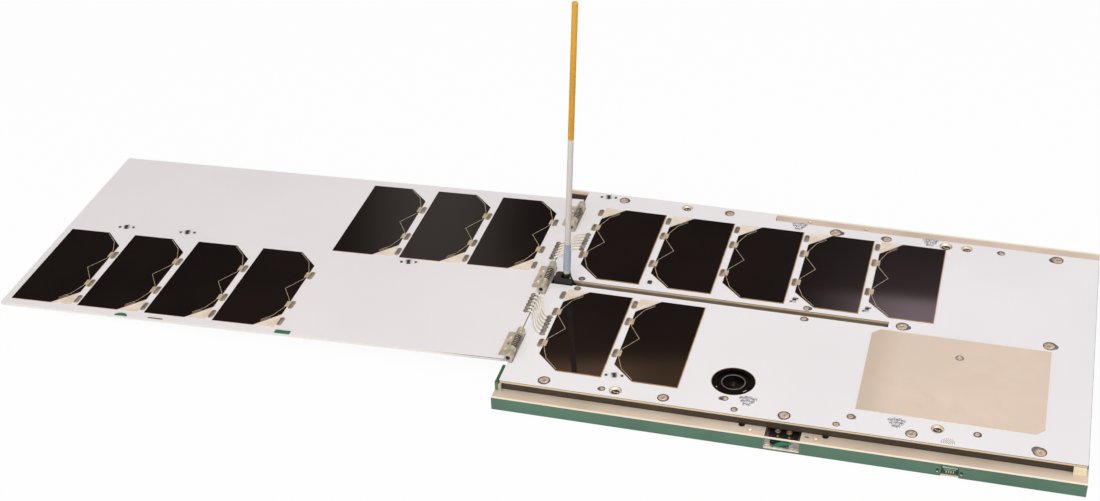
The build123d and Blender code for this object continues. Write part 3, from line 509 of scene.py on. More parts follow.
def capsule(x, y, length, breadth, turn=0.0):
    """A long rounded outline, its length along X before the turn."""
    radius, half = breadth / 2, (length - breadth) / 2
    c, s = cos(turn), sin(turn)
    points = []
    for start, middle in ((0, half), (ROUND_STEPS, -half)):
        for k in range(start, start + ROUND_STEPS + 1):
            angle = pi * k / ROUND_STEPS
            px, py = middle + sin(angle) * radius, -cos(angle) * radius
            points.append((x + px * c - py * s, y + px * s + py * c))
    return points


DOME_STEPS, DOME_FLAT = 5, 0.25  # DOME_FLAT is the share of the outline that stays flat


def dome(mesh, place, outline, low, height):
    """A blob over an outline: steep at its rim and round on top."""
    middle = middle_of(outline)
    loops = [[(x, y, low) for x, y in outline]]
    for k in range(1, DOME_STEPS + 1):
        angle = pi / 2 * k / DOME_STEPS
        share = DOME_FLAT + (1 - DOME_FLAT) * cos(angle)
        loops.append([(middle.x + (x - middle.x) * share, middle.y + (y - middle.y) * share,
                       low + height * sin(angle)) for x, y in outline])
    loops_to_skin(mesh, [[place @ Vector(p) for p in loop] for loop in loops])


def circle(sides):
    """Cosine and sine of equal steps round a circle."""
    angles = [2 * pi * k / sides for k in range(sides)]
    return [(cos(angle), sin(angle)) for angle in angles]


def lathe(mesh, place, profile, sides=32):
    """Turns a profile of (radius, height) about the frame's Z: a closed piece."""
    loops_to_skin(mesh, [[place @ Vector((r * c, r * s, z)) for c, s in circle(sides)]
                         for r, z in profile])


def hoop(mesh, place, profile, sides=40):
    """Turns a closed profile of (radius, height) about the frame's Z: an open ring."""
    rows = [[mesh.verts.new(place @ Vector((r * c, r * s, z))) for r, z in profile]
            for c, s in circle(sides)]
    for near, far in zip(rows, rows[1:] + rows[:1]):
        for i in range(len(profile)):
            j = (i + 1) % len(profile)
            mesh.faces.new((near[i], far[i], far[j], near[j]))


def ribbon(mesh, place, points, width, low, high):
    """A flat conductor along a route, with mitred bends."""
    route = [Vector(p) for p in points]
    left, right = [], []
    for i, here in enumerate(route):
        before = (here - route[i - 1]).normalized() if i else None
        after = (route[i + 1] - here).normalized() if i + 1 < len(route) else None
        way = (before + after).normalized() if before and after else (before or after)
        side = Vector((-way.y, way.x))
        leg = after or before
        stretch = 1 / max(0.5, side.dot(Vector((-leg.y, leg.x))))
        left.append(here + side * width / 2 * stretch)
        right.append(here - side * width / 2 * stretch)
    for i in range(len(route) - 1):
        quad = [left[i], right[i], right[i + 1], left[i + 1]]
        loops_to_skin(mesh, [[place @ Vector((p.x, p.y, z)) for p in quad] for z in (low, high)])


def shift(x, y, z=0.0):
    """A move without a turn."""
    return Matrix.Translation((x, y, z))


def at(x, y, z=0.0):
    """A frame on the body panel's top face."""
    return TOP @ shift(x, y, z)


# ---------------- what lies on and beside the cells
# the bright conductor over a cell and its spur, from the cell's front corner
BUS = ((13.5, 1.0), (5.0, 10.0), (1.0, 20.0), (0.6, 24.0), (1.0, 28.5), (8.5, 40.5),
       (1.0, 52.0), (0.6, 56.0), (1.5, 60.0), (5.0, 69.0), (10.5, 74.5))
BUS_SPUR = ((5.6, 71.4), (10.2, 76.0))
BUS_WIDTH, BUS_LOW, BUS_HIGH = 0.27, CELL_THICK - 0.02, CELL_THICK + 0.09
TAB_PLACES = tuple(CELL_LENGTH * share for share in (0.3, 0.7, 0.92))
PAD_X = -2.1  # middle of the solder pads beside a cell
HALF_TURN = Matrix.Rotation(pi, 4, "Z")


def cell_frames(rows, base, turned):
    """A frame at each cell's front corner on its cropped side, X over the cell."""
    for left, front, count in rows:
        for i in range(count):
            corner = base @ shift(left + i * CELL_PITCH, front)
            if turned:
                corner = corner @ shift(CELL_BREADTH, CELL_LENGTH) @ HALF_TURN
            yield corner


for prefix, rows, base, turned in (("body", BODY_ROWS, TOP, False),
                                   ("wing", WING_ROWS, WING, True)):
    lines, tabs, pads, rims = (bmesh.new() for _ in range(4))
    for place in cell_frames(rows, base, turned):
        for route in (BUS, BUS_SPUR):
            ribbon(lines, place, route, BUS_WIDTH, BUS_LOW, BUS_HIGH)
        for y in TAB_PLACES[:2]:
            slab(tabs, place, rectangle(0.3, y, 2.8, 5.4), 0.02, CELL_THICK + 0.16, 0.08)
            slab(tabs, place, rectangle(-0.7, y, 1.3, 4.6), 0.02, CELL_THICK + 0.05, 0.05)
        for y in TAB_PLACES:
            dome(pads, place, capsule(PAD_X, y, 7.8, 2.7, pi / 2), 0.0, 0.55)
            slab(rims, place, capsule(PAD_X, y, 8.6, 3.5, pi / 2), 0.0, 0.05)
    add_piece(prefix + "_bus_lines", lines, "trace_metal", prefix)
    add_piece(prefix + "_cell_tabs", tabs, "tab_cream", prefix)
    domes = add_piece(prefix + "_solder_pads", pads, "solder_metal", prefix, smooth=True)
    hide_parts(prefix + "_tabs")
    add_piece(prefix + "_pad_rims", rims, "tab_cream", prefix)

# a copper line along the right and front edges of each cell on the body
copper = bmesh.new()
for place in cell_frames(BODY_ROWS, TOP, False):
    for x, y, length, breadth in ((CELL_BREADTH, CELL_LENGTH / 2, 0.5, CELL_LENGTH),
                                  ((CELL_BREADTH + CELL_CROP) / 2, 0.0,
                                   CELL_BREADTH - CELL_CROP, 0.5)):
        slab(copper, place, rectangle(x, y, length, breadth), 0.05, CELL_THICK + 0.03)
add_piece("body_cell_rims", copper, "copper_line")

# ---------------- screws in the panel
SHANK = -1.26  # how deep a screw or a bore goes under the panel's top
BORE_FLOOR = -1.12
HOLE_RIM = 0.22
HEAD_OFFSET = 0.28  # how far a head sits from its hole's middle, away from the painted shadow
HEAD_GAP, HEAD_GAP_SHADOWED = 0.42, 0.62
# x, y and diameter of each hole, what is in it, and the painted shadow beside a head, a dark lobe
# in the hole: its place from the hole's middle and its radius
SCREWS = (
    (-139.0, 98.6, 6.5, "head", (1.5, 0.0, 2.3)), (-96.9, 98.6, 6.5, "open", None),
    (-68.8, 98.6, 6.0, "head", (-0.5, 0.3, 2.7)), (1.7, 91.4, 7.6, "head", (3.1, 0.1, 2.3)),
    (34.0, 91.2, 6.0, "head", (-1.5, 0.4, 2.3)), (71.4, 91.3, 7.6, "open", None),
    (84.5, 91.3, 6.5, "open", None), (105.8, 91.2, 4.5, "head", (-0.9, 0.3, 1.8)),
    (140.3, 91.3, 7.6, "head", (-2.2, -0.6, 2.8)),
    (-143.6, 5.0, 4.0, "dull", (0.3, -0.3, 1.9)), (-143.6, -5.8, 4.0, "dull", (0.3, 0.3, 1.9)),
    (-3.6, 5.2, 4.4, "head", (1.6, 0.0, 1.7)), (-3.6, -6.0, 4.4, "head", (0.9, -0.2, 1.9)),
    (54.4, -0.4, 7.6, "head", (2.9, -0.5, 2.3)), (140.3, -0.4, 7.6, "head", (2.6, -0.3, 2.5)),
    (-139.0, -98.6, 7.0, "head", (0.2, -1.3, 2.6)),
    (-105.0, -98.6, 3.8, "head", (-1.0, -0.3, 1.5)),
    (-97.0, -98.6, 7.0, "open", None), (-69.2, -98.8, 6.5, "head", (0.5, -0.3, 2.9)),
    (-35.3, -91.5, 4.0, "head", (-1.7, -0.3, 1.8)), (-28.3, -100.0, 3.8, "eyelet", None),
    (-0.2, -99.0, 7.0, "head", (-0.2, -1.2, 2.8)), (29.0, -100.0, 3.8, "eyelet", None),
    (36.1, -91.5, 4.5, "head", (1.1, -0.3, 1.9)), (70.4, -98.9, 6.5, "head", None),
    (84.0, -91.5, 7.0, "open", None), (105.8, -91.5, 4.3, "head", (0.5, -0.5, 1.9)),
    (139.7, -98.7, 7.6, "head", (-1.3, 1.2, 3.3)),
)
heads, dulls, recesses, rims, shadow_lobes, bores, bore_shade_floors, glints = (bmesh.new() for _ in range(8))
for x, y, hole, kind, shadow_lobe in SCREWS:
    edge = hole / 2
    hoop(rims, at(x, y), [(edge + HOLE_RIM, -0.02), (edge + HOLE_RIM, 0.03), (edge, 0.03),
                          (edge, -0.02)])
    if kind == "open":
        lathe(bores, at(x, y), [(edge - 0.04, SHANK), (edge - 0.04, -0.04), (edge - 0.22, 0.0),
                                (edge - 0.5, -0.35), (edge * 0.72, -1.2)], 40)
        # painted shade: a black disc on the bore's floor for the dark down the hole
        lathe(bore_shade_floors, at(x, y), [(edge * 0.7, BORE_FLOOR - 0.09), (edge * 0.7, BORE_FLOOR),
                                      (0.05, BORE_FLOOR)])
        # painted glints: small bright capsules on the bore's floor
        for dx, dy, length in ((0.1, -0.12, 0.7), (-0.32, 0.1, 0.3), (0.36, 0.02, 0.25)):
            slab(glints, at(x + dx * edge, y + dy * edge), capsule(0, 0, length * edge, 0.32),
                 -1.14, -0.98, 0.05)
        continue
    r = edge - (HEAD_GAP_SHADOWED if shadow_lobe else HEAD_GAP)
    if kind == "eyelet":
        lathe(heads, at(x, y), [(r, SHANK), (r, -0.25), (r * 0.9, 0.0), (r * 0.55, -0.12),
                                (0.05, -0.16)], 28)
        continue
    away = Vector(shadow_lobe[:2]).normalized() * HEAD_OFFSET if shadow_lobe else Vector((0, 0))
    place = at(x - away.x, y - away.y)
    lathe(dulls if kind == "dull" else heads, place, [
        (r, SHANK), (r, 0.02), (r - 0.14, 0.12), (r * 0.5, 0.2), (r * 0.17 + 0.08, 0.21),
        (r * 0.15 + 0.04, 0.05), (0.03, 0.04)], 36)
    if kind == "dull":
        continue
    lathe(recesses, place, [(r * 0.12 + 0.03, 0.03), (r * 0.12, 0.1), (0.03, 0.1)], 16)
    # painted shadow: a dark lobe in the hole beside the head
    if shadow_lobe:
        dx, dy, wide = shadow_lobe
        lathe(shadow_lobes, at(x + dx, y + dy), [(wide, -0.02), (wide - 0.05, 0.03), (0.03, 0.04)], 36)
screw_piece = add_piece("screw_heads", heads, "screw_metal", smooth=True)
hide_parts("panel_screws")
add_piece("slot_screw_heads", dulls, "solder_metal", smooth=True)
add_piece("screw_recesses", recesses, "hole_rim_and_gap_shadow")
add_piece("hole_rims", rims, "hole_rim_and_gap_shadow")
add_piece("screw_shadow_lobes", shadow_lobes, "hole_shade")
add_piece("open_bores", bores, "bore_cream", smooth=True)
add_piece("open_bore_shade_floors", bore_shade_floors, "black_plastic")
add_piece("bore_glints", glints, "rivet_and_glint_cream")

# ---------------- wires across the hinge line
# a bundle's first wire: its Y on the wing and on the body, and the way that the others follow
BUNDLES = (("wires_front", -18.5, -38.7, -1), ("wires_back", 22.6, 36.3, 1))
WIRE_COUNT, WIRE_RADIUS = 6, 0.55
# a wire's corners: shares of the way along X and across Y from wing to body, and heights
WIRE_ROUTE = ((0.0, 0.0, 0.6), (0.2, 0.07, 1.5), (0.44, 0.32, 2.2), (0.6, 0.68, 2.2),
              (0.8, 0.93, 1.5), (1.0, 1.0, 0.6))
WIRE_START, WIRE_END, WIRE_PITCH = -166.5, -153.5, 3.4
JOINT_LENGTH, JOINT_HEIGHT, JOINT_OFFSET = 3.6, 1.1, 1.4


def spline_line(points):
    """Points along the smooth curve that a route's corners control."""
    data = bpy.data.curves.new("route", "CURVE")
    data.dimensions = "3D"
    data.resolution_u = 10
    line = data.splines.new("NURBS")
    line.points.add(len(points) - 1)
    for point, place in zip(line.points, points):
        point.co = (*place, 1.0)
    line.order_u = 3
    line.use_endpoint_u = True
    holder = bpy.data.objects.new("route", data)
    bpy.context.collection.objects.link(holder)
    bpy.context.view_layer.update()
    drawn = bpy.data.meshes.new_from_object(holder)
    found = [v.co.copy() for v in drawn.vertices]
    bpy.data.objects.remove(holder)
    bpy.data.meshes.remove(drawn)
    bpy.data.curves.remove(data)
    return found


def tube(mesh, line, radius, sides=10):
    """A round tube along a line of points."""
    loops = []
    for i, here in enumerate(line):
        way = (line[min(i + 1, len(line) - 1)] - line[max(i - 1, 0)]).normalized()
        across = way.cross(Vector((0, 0, 1)))
        across = across.normalized() if across.length > 0.01 else Vector((0, 1, 0))
        over = across.cross(way)
        loops.append([here + (across * c + over * s) * radius for c, s in circle(sides)])
    loops_to_skin(mesh, loops)


body_blobs, wing_blobs = bmesh.new(), bmesh.new()
for label, wing_y, body_y, side in BUNDLES:
    bundle = bmesh.new()
    for i in range(WIRE_COUNT):
        step = side * i * WIRE_PITCH
        route = [(WIRE_START + along * (WIRE_END - WIRE_START),
                  wing_y + step + across * (body_y - wing_y), PANEL_TOP + height)
                 for along, across, height in WIRE_ROUTE]
        tube(bundle, spline_line(route), WIRE_RADIUS)
        dome(body_blobs, TOP, capsule(WIRE_END + JOINT_OFFSET, body_y + step, JOINT_LENGTH, 3.0),
             0.0, JOINT_HEIGHT)
        dome(wing_blobs, WING, capsule(WIRE_START - PANEL_LEFT - JOINT_OFFSET, wing_y + step,
                                       JOINT_LENGTH, 2.9), 0.0, JOINT_HEIGHT)
    piece = add_piece(label + "_bundle", bundle, "wire_cream", None, smooth=True)
    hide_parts(label)
    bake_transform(piece)
piece = add_piece("body_wire_joints", body_blobs, "wire_solder", smooth=True)
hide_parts("body_wire_pads")
piece = add_piece("wing_wire_joints", wing_blobs, "wire_solder", "wing", smooth=True)
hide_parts("wing_wire_pads")

COAX_RADIUS = 0.5
COAX_ROUTE = ((-149.8, -0.4, 24.3), (-149.9, -0.4, 20.8), (-148.7, -1.0, 17.4),
              (-146.6, -1.5, 14.4), (-144.6, -1.5, 11.8))
cable = bmesh.new()
tube(cable, spline_line(COAX_ROUTE), COAX_RADIUS)
piece = add_piece("antenna_cable", cable, "cable_black", None, smooth=True)
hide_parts("antenna_coax")
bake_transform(piece)

# ---------------- antenna foot
ANTENNA = Matrix.Translation(PIVOT) @ Matrix.Rotation(ANTENNA_LEAN, 4, "Y")
boot, collar = bmesh.new(), bmesh.new()
lathe(boot, ANTENNA, [(1.5, 4.2), (2.0, 4.7), (2.1, 6.0), (2.1, 9.0), (1.9, 9.4)])
lathe(collar, ANTENNA, [(1.7, 9.2), (2.15, 9.5), (2.2, 10.6), (2.05, 11.0), (2.2, 11.5),
                        (2.2, 12.5), (1.9, 12.85)])
add_piece("antenna_boot", boot, "black_plastic", "antenna", smooth=True)
add_piece("antenna_collar", collar, "collar_silver", "antenna", smooth=True)

# the block under the antenna: its back cheek is short, and white board fills the rest
BLOCK_LEFT, BLOCK_RIGHT, BLOCK_FRONT, BLOCK_TOP = -159.0, -147.6, -3.4, 18.5
FORK_LEFT, FORK_FRONT, FORK_BACK = -155.1, -2.8, 2.0  # the slot that the antenna turns in
CHEEK_RIGHT, CHEEK_BACK = -151.4, 3.6
FLOOR_TOP = 9.1  # of the slot
block = bmesh.new()
slab(block, WHOLE, [(BLOCK_LEFT, BLOCK_FRONT), (BLOCK_RIGHT, BLOCK_FRONT),
                    (BLOCK_RIGHT, FORK_FRONT), (FORK_LEFT, FORK_FRONT), (FORK_LEFT, FORK_BACK),
                    (CHEEK_RIGHT, FORK_BACK), (CHEEK_RIGHT, CHEEK_BACK),
                    (BLOCK_LEFT + 1.4, CHEEK_BACK), (BLOCK_LEFT, CHEEK_BACK - 1)],
     LEDGE, BLOCK_TOP)
slab(block, WHOLE, rectangle((BLOCK_LEFT + BLOCK_RIGHT) / 2, PIVOT[1], 11.4, 6.0), LEDGE,
     FLOOR_TOP)
piece = add_piece("antenna_fork", block, "black_plastic")
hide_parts("antenna_block")
filler = bmesh.new()
slab(filler, WHOLE, [(-151.1, 2.3), (-147.3, 2.3), (-147.3, 4.8), (-159.3, 4.8), (-159.3, 2.9),
                     (-157.8, 3.9), (-151.1, 3.9)], PANEL_TOP - BOARD, PANEL_TOP)
add_piece("slot_filler", filler, "white_board")


# ---------------- small parts on the boards
def chip(bodies, ends, base, x, y, length, breadth, height, turn=0.0):
    """A surface-mounted part: a dark body between two plated ends."""
    place = base @ shift(x, y) @ Matrix.Rotation(turn, 4, "Z")
    slab(bodies, place, rectangle(0, 0, length * 0.56, breadth), 0.02, height, 0.08)
    for way in (-1, 1):
        slab(ends, place, rectangle(way * length * 0.39, 0, length * 0.22, breadth * 1.05), 0.02,
             height * 1.04, 0.06)


# three parts in a row: place, length, breadth and height of each, and the row's small turn
TRIO_TURN = 0.28
TRIO = ((-4.6, -0.5, 1.9, 1.5, 0.5), (0.0, 0.0, 3.4, 3.6, 0.9), (4.6, 0.6, 1.9, 1.5, 0.5))
for body, base, places in (("body", TOP, ((-150.0, 99.7), (-101.0, -85.3))),
                           ("wing", WING, ((-289.7, 9.7), (-246.7, 10.7), (-91.7, 2.7)))):
    dark, ends = bmesh.new(), bmesh.new()
    for x, y in places:
        for dx, dy, length, breadth, height in TRIO:
            chip(dark, ends, base, x + dx, y + dy, length, breadth, height, TRIO_TURN)
    if body == "body":
        slab(dark, base @ shift(-101.9, 10.2), rectangle(0, 0, 2.6, 2.6), 0.02, 0.9, 0.08)
        for x, y in ((-12.4, 11.7), (31.6, 11.7)):
            chip(dark, ends, base, x, y, 4.4, 2.2, 0.9, pi / 2)
            chip(dark, ends, base, x - 1.9, y - 1.7, 1.9, 1.0, 0.5, 0.3)
            chip(dark, ends, base, x + 1.5, y + 1.9, 1.6, 0.9, 0.5, 0.3)
    add_piece(body + "_chips", dark, "part_dark", body)
    add_piece(body + "_chip_ends", ends, "bright_solder", body)

# the patch antenna's feed, a ring round it, and a dark line of painted shadow in the gap along the
# patch's back edge
feed, ring_and_gap_shadow = bmesh.new(), bmesh.new()
lathe(feed, at(*FEED, 0.6), [(1.6, -0.19), (1.55, 0.05), (1.1, 0.18), (0.6, 0.14), (0.5, 0.02),
                             (0.05, 0.02)], 28)
hoop(ring_and_gap_shadow, at(*FEED, 0.4), [(2.6, 0.0), (2.5, 0.12), (1.7, 0.12), (1.6, 0.0)], 32)
# painted shadow: a dark line in the gap along the patch's back edge
slab(ring_and_gap_shadow, at(91.85, -6.55), rectangle(0, 0, 99.5, 0.5), 0.0, 0.12)
add_piece("patch_feed", feed, "bright_solder", smooth=True)
add_piece("patch_ring_and_gap_shadow", ring_and_gap_shadow, "hole_rim_and_gap_shadow")

# clusters of plated holes beside some of the screws
CLUSTER_SPREAD = 1.3
CLUSTER = ((-2.9, 1.7), (-1.0, 2.3), (1.0, 2.3), (2.9, 1.7), (-2.1, -0.2), (0.0, 0.3), (2.1, -0.2),
           (-0.9, -2.2), (0.9, -2.2))
clusters, cluster_pits = bmesh.new(), bmesh.new()
for x, y in ((-22.5, 93.7), (61.3, 93.7), (-22.3, -91.0), (61.3, -91.4)):
    for dx, dy in CLUSTER:
        place = at(x + dx * CLUSTER_SPREAD, y + dy * CLUSTER_SPREAD)
        lathe(clusters, place, [(1.4, 0.0), (1.25, 0.3), (0.9, 0.45), (0.5, 0.3), (0.42, 0.12),
                                (0.05, 0.12)], 16)
        # painted shade: a dark pit in each hole's mouth
        lathe(cluster_pits, place @ shift(0.1, 0), [(0.42, 0.11), (0.38, 0.16), (0.05, 0.16)], 12)
add_piece("solder_clusters", clusters, "cluster_silver", smooth=True)
add_piece("cluster_pits", cluster_pits, "hole_shade")

# four arcs of test dots near the front edge
DOTS_X, DOTS_Y = 90.6, -102.3
dots = bmesh.new()
for radius, count in ((3.6, 11), (2.5, 8), (1.4, 5), (0.4, 2)):
    for k in range(count):
        angle = pi * k / (count - 1)
        lathe(dots, at(DOTS_X + radius * cos(angle), DOTS_Y + radius * sin(angle)),
              [(0.34, 0.0), (0.32, 0.06), (0.05, 0.07)], 10)
add_piece("test_dots", dots, "test_dot")

# ---------------- camera barrel
rings = bmesh.new()
lens_frame = at(*LENS)
hoop(rings, lens_frame @ shift(0, 0, -0.9), [
    (7.1, 0.0), (7.1, 0.35), (6.9, 0.5), (6.5, 0.5), (6.3, 0.3), (6.3, 0.0)], 64)
add_piece("lens_ring", rings, "lens_ring", smooth=True)
inner = bmesh.new()
for r, z in ((5.4, -1.5), (4.2, -1.9), (3.0, -2.2)):
    hoop(inner, lens_frame @ shift(0, 0, z), [
        (r, 0.0), (r, 0.2), (r - 0.35, 0.3), (r - 0.5, 0.0)], 48)
add_piece("lens_steps", inner, "lens_black_and_shade", smooth=True)
glints_and_marks, reflection_dashes = bmesh.new(), bmesh.new()
# painted reflection: five faint dashes down the lens's middle, mirrored from its inner parts
for k in range(-2, 3):
    slab(reflection_dashes, lens_frame @ shift(0.0, 1.3 * k, -2.24), rectangle(0, 0, 1.4, 0.3), 0.0, 0.05)
add_piece("lens_reflection_dashes", reflection_dashes, "lens_ring")
# painted highlights: two bright glints at the barrel's lower right and lower left
for angle, length in ((-0.75, 2.6), (-2.45, 1.2)):
    place = lens_frame @ Matrix.Rotation(angle, 4, "Z") @ shift(10.9, 0)
    slab(glints_and_marks, place, capsule(0, 0, length, 0.45, pi / 2), -0.02, 0.03)
add_piece("lens_glints", glints_and_marks, "lens_glint_grey")
rim = bmesh.new()
hoop(rim, lens_frame, [(12.75, -0.02), (12.75, 0.04), (12.52, 0.04), (12.52, -0.02)], 96)
add_piece("lens_hole_plating", rim, "standoff_metal")

# ---------------- hinges
rivets, glints_and_marks, bore_shades = bmesh.new(), bmesh.new(), bmesh.new()
for middle in HINGE_MIDDLES:
    for dy in (-5.7, 5.7):
        lathe(rivets, WING @ shift(-4.5, middle + 2.6 + dy, 0.8), [
            (0.95, 0.0), (0.9, 0.25), (0.6, 0.45), (0.1, 0.5)], 20)
    slab(glints_and_marks, WING @ shift(-4.4, middle + 2.2, 0.8), rectangle(0, 0, 1.1, 2.2), 0.0, 0.12, 0.03)
    # painted shade: a black disc over the front end of each hinge's bore
    lathe(bore_shades, shift(HINGE_X, middle - 14.2, HINGE_Z) @ Matrix.Rotation(pi / 2, 4, "X"),
          [(1.3, -0.1), (1.3, 0.02), (1.0, 0.04), (0.05, 0.04)], 24)
# springs: a few open turns round a black tube of painted shade
TURNS, TURN_STEPS = 7, 20
COIL_RADIUS, COIL_WIRE, COIL_MARGIN = 1.58, 0.36, 0.4
coils, shade_tubes = bmesh.new(), bmesh.new()
for middle in HINGE_MIDDLES:
    back, length = middle + SPRING_BACK, SPRING_LENGTH - 2 * COIL_MARGIN
    coil_line = []
    for k in range(TURNS * TURN_STEPS + 1):
        angle = 2 * pi * k / TURN_STEPS
        coil_line.append(Vector((HINGE_X + COIL_RADIUS * cos(angle),
                                 back - COIL_MARGIN - length * k / (TURNS * TURN_STEPS),
                                 HINGE_Z + COIL_RADIUS * sin(angle))))
    tube(coils, coil_line, COIL_WIRE, 8)
    hoop(shade_tubes, shift(HINGE_X, back, HINGE_Z) @ Matrix.Rotation(pi / 2, 4, "X"),
         [(1.1, 0.0), (1.3, 0.0), (1.3, SPRING_LENGTH), (1.1, SPRING_LENGTH)], 24)
piece = add_piece("spring_coils", coils, "spring_wire", smooth=True)
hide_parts("hinge_springs")
add_piece("spring_shade_tubes", shade_tubes, "lens_black_and_shade")
add_piece("leaf_rivets", rivets, "rivet_and_glint_cream", "wing", smooth=True)
add_piece("leaf_marks", glints_and_marks, "pin_metal", "wing")
add_piece("hinge_bore_shades", bore_shades, "black_plastic")

# ---------------- ribs in the antenna's channel
channel = bmesh.new()
for y in (-3.02, 2.22):
    slab(channel, at(CHANNEL_MIDDLE, y, -2.0), rectangle(0, 0, CHANNEL_LENGTH, 0.18), 0.0, 0.5)
slab(channel, at(CHANNEL_MIDDLE, PIVOT[1], -4.98), rectangle(0, 0, CHANNEL_LENGTH, 1.1), 0.0,
     0.12, 0.04)
add_piece("channel_ribs", channel, "channel_metal")

# ---------------- rails and front side
studs, dark_holes = bmesh.new(), bmesh.new()
for x, y in ((-17.5, -108.8), (19.4, -108.6), (-17.5, 108.8), (19.4, 108.6)):
    lathe(studs, shift(x, y, LEDGE), [(1.3, 0.0), (1.25, 0.7), (0.9, 1.0), (0.1, 1.05)], 20)
# holes in the rails, drawn as black discs of painted shade, and one slot drawn the same way
for x, y in ((-22.8, -104.9), (24.2, -104.9), (-22.8, 104.9), (24.2, 97.6)):
    lathe(dark_holes, shift(x, y, LEDGE), [(1.9, 0.0), (1.9, 0.06), (0.05, 0.07)], 28)
slab(dark_holes, shift(14.2, -107.7, LEDGE), capsule(0, 0, 2.4, 0.8), 0.0, 0.06)
add_piece("rail_rivets", studs, "rivet_and_glint_cream", smooth=True)
add_piece("rail_holes", dark_holes, "black_plastic")

# the release switch: two terminals, painted highlights along the edges of its window's frame, the
# dark bars on the switch and the lever's bent arm
silver, gold, bright, bars, bent_arm = (bmesh.new() for _ in range(5))
for x, metal in ((-2.3, silver), (4.1, gold)):
    lathe(metal, shift(x, -105.1, 7.0), [
        (1.75, 0.0), (1.75, 0.6), (1.45, 0.85), (0.7, 0.9), (0.6, 0.5), (0.05, 0.5)], 24)
    lathe(metal, shift(x + 0.4, -108.3, 6.1), [(0.9, 0.0), (0.85, 0.5), (0.4, 0.8), (0.05, 0.85)],
          16)
# painted highlights along the window frame's edges
for x, length in ((-7.3, 2.8), (7.9, 5.4)):
    slab(bright, shift(x, -110.9, 1.2), rectangle(0, 0, length, 2.1), 0.6, 1.0, 0.1)
    slab(bright, shift(x, -110.9, 6.15), rectangle(0, 0, length, 2.1), 0.0, 0.2, 0.05)
slab(bent_arm, FRONT @ shift(0, 0, -2.2), [
    (-5.0, 0.9), (-3.2, 0.9), (-0.2, 2.7), (2.0, 3.6), (6.2, 4.5), (6.2, 5.6), (0.5, 5.5),
    (-2.4, 4.2), (-3.6, 2.6)], 0.0, 0.8)
slab(bright, FRONT @ shift(1.8, 1.5, -1.4), rectangle(0, 0, 11.0, 0.7), 0.0, 0.8, 0.1)
for z in (2.6, 4.1):
    slab(bars, FRONT @ shift(-0.8, z, -3.4), rectangle(0, 0, 8.2, 0.7), 0.0, 0.6, 0.1)
add_piece("switch_terminal_left", silver, "standoff_metal", smooth=True)
add_piece("switch_terminal_right", gold, "gold_metal", smooth=True)
add_piece("window_edge_highlights", bright, "highlight_grey")
add_piece("window_dark_bars", bars, "part_dark")
add_piece("window_lever_arm", bent_arm, "green_tab")

# the service connector: a mouth of painted shade wider at its top, pins, pale strips, a bright
# lip, a green lining and two holes, each a black disc of painted shade over a cream dot of painted
# highlight, which stand 0.005 mm proud of the side board
PORT = FRONT @ shift(PORT_X, 0)
pins, shade_mouth, port_hole_shades, strip, lining = (bmesh.new() for _ in range(5))
# painted shade: the dark mouth, wider at its top
slab(shade_mouth, PORT @ shift(0, 0, -0.7), [(-3.1, 2.2), (3.1, 2.2), (3.9, 5.2), (-3.9, 5.2)],
     0.0, 0.42)
for k in range(4):
    slab(pins, PORT @ shift(1.3 * k - 1.9, 3.2, -0.4), rectangle(0, 0, 0.5, 1.4), 0.0, 0.25, 0.08)
slab(pins, PORT @ shift(0, 0.6, -1.6), rectangle(0, 0, 8.6, 0.9), 0.0, 1.4, 0.1)
slab(strip, PORT @ shift(0, 6.2, -0.5), rectangle(0, 0, 8.4, 0.8), 0.0, 0.3, 0.05)
slab(strip, PORT @ shift(0, 4.9, -0.4), rectangle(0, 0, 6.4, 0.35), 0.0, 0.25, 0.05)
# painted shade and highlight: each hole a black disc with a cream glint under it
for x, z in ((-6.7, 3.9), (6.3, 3.7)):
    lathe(port_hole_shades, PORT @ shift(x, z, -0.045), [(0.9, 0.0), (0.88, 0.05), (0.05, 0.05)], 20)
    lathe(pins, PORT @ shift(x, z - 1.1, -0.05), [(0.5, 0.0), (0.48, 0.055), (0.05, 0.055)], 16)
slab(lining, PORT @ shift(0, 3.75, -1.7), rectangle(0, 0, 9.7, 6.7), 0.0, 0.4)
for side in (-1, 1):
    slab(lining, PORT @ shift(side * 4.72, 3.75, -1.6), rectangle(0, 0, 0.3, 6.7), 0.0, 1.5)
add_piece("port_pins_and_glints", pins, "rivet_and_glint_cream")
add_piece("port_shade_mouth", shade_mouth, "port_shade")
add_piece("port_strip", strip, "strip_green")
add_piece("port_lining", lining, "port_green")
add_piece("port_holes", port_hole_shades, "black_plastic")

# green board, painted dark as the shade it lies in, shows along the tray's left end, between the
# rail and the panel, and stands up in front of the wing
STRIP_LEFT, STRIP_RIGHT, STRIP_END = -166.45, -164.3, 100.1
left_strip = bmesh.new()
slab(left_strip, WHOLE, [(STRIP_LEFT, -STRIP_END), (STRIP_RIGHT, -STRIP_END),
                         (STRIP_RIGHT, STRIP_END), (STRIP_LEFT, STRIP_END)], LEDGE, LEDGE + 0.3)
slab(left_strip, WHOLE, rectangle(-165.4, -97.7, 1.8, 16.6), LEDGE, PANEL_TOP - 0.4)
add_piece("left_board_strip", left_strip, "base_green_shaded")

# ---------------- wing edge parts
green, grey = bmesh.new(), bmesh.new()
half_disc = [(4.2 * cos(pi * k / 12), 3.0 * sin(pi * k / 12)) for k in range(13)]
slab(green, WING @ shift(-247.7, -84.2), half_disc, 0.0, 0.3, 0.08)
slab(green, WING @ shift(-142.0, -82.6), rectangle(0, 0, 9.6, 2.8), 0.0, 0.6, 0.12)
slab(grey, WING @ shift(-225.0, -83.0), rectangle(0, 0, 9.6, 0.9), 0.0, 0.25, 0.05)
add_piece("wing_green_tabs", green, "green_tab", "wing")
add_piece("wing_grey_strip", grey, "solder_metal", "wing")

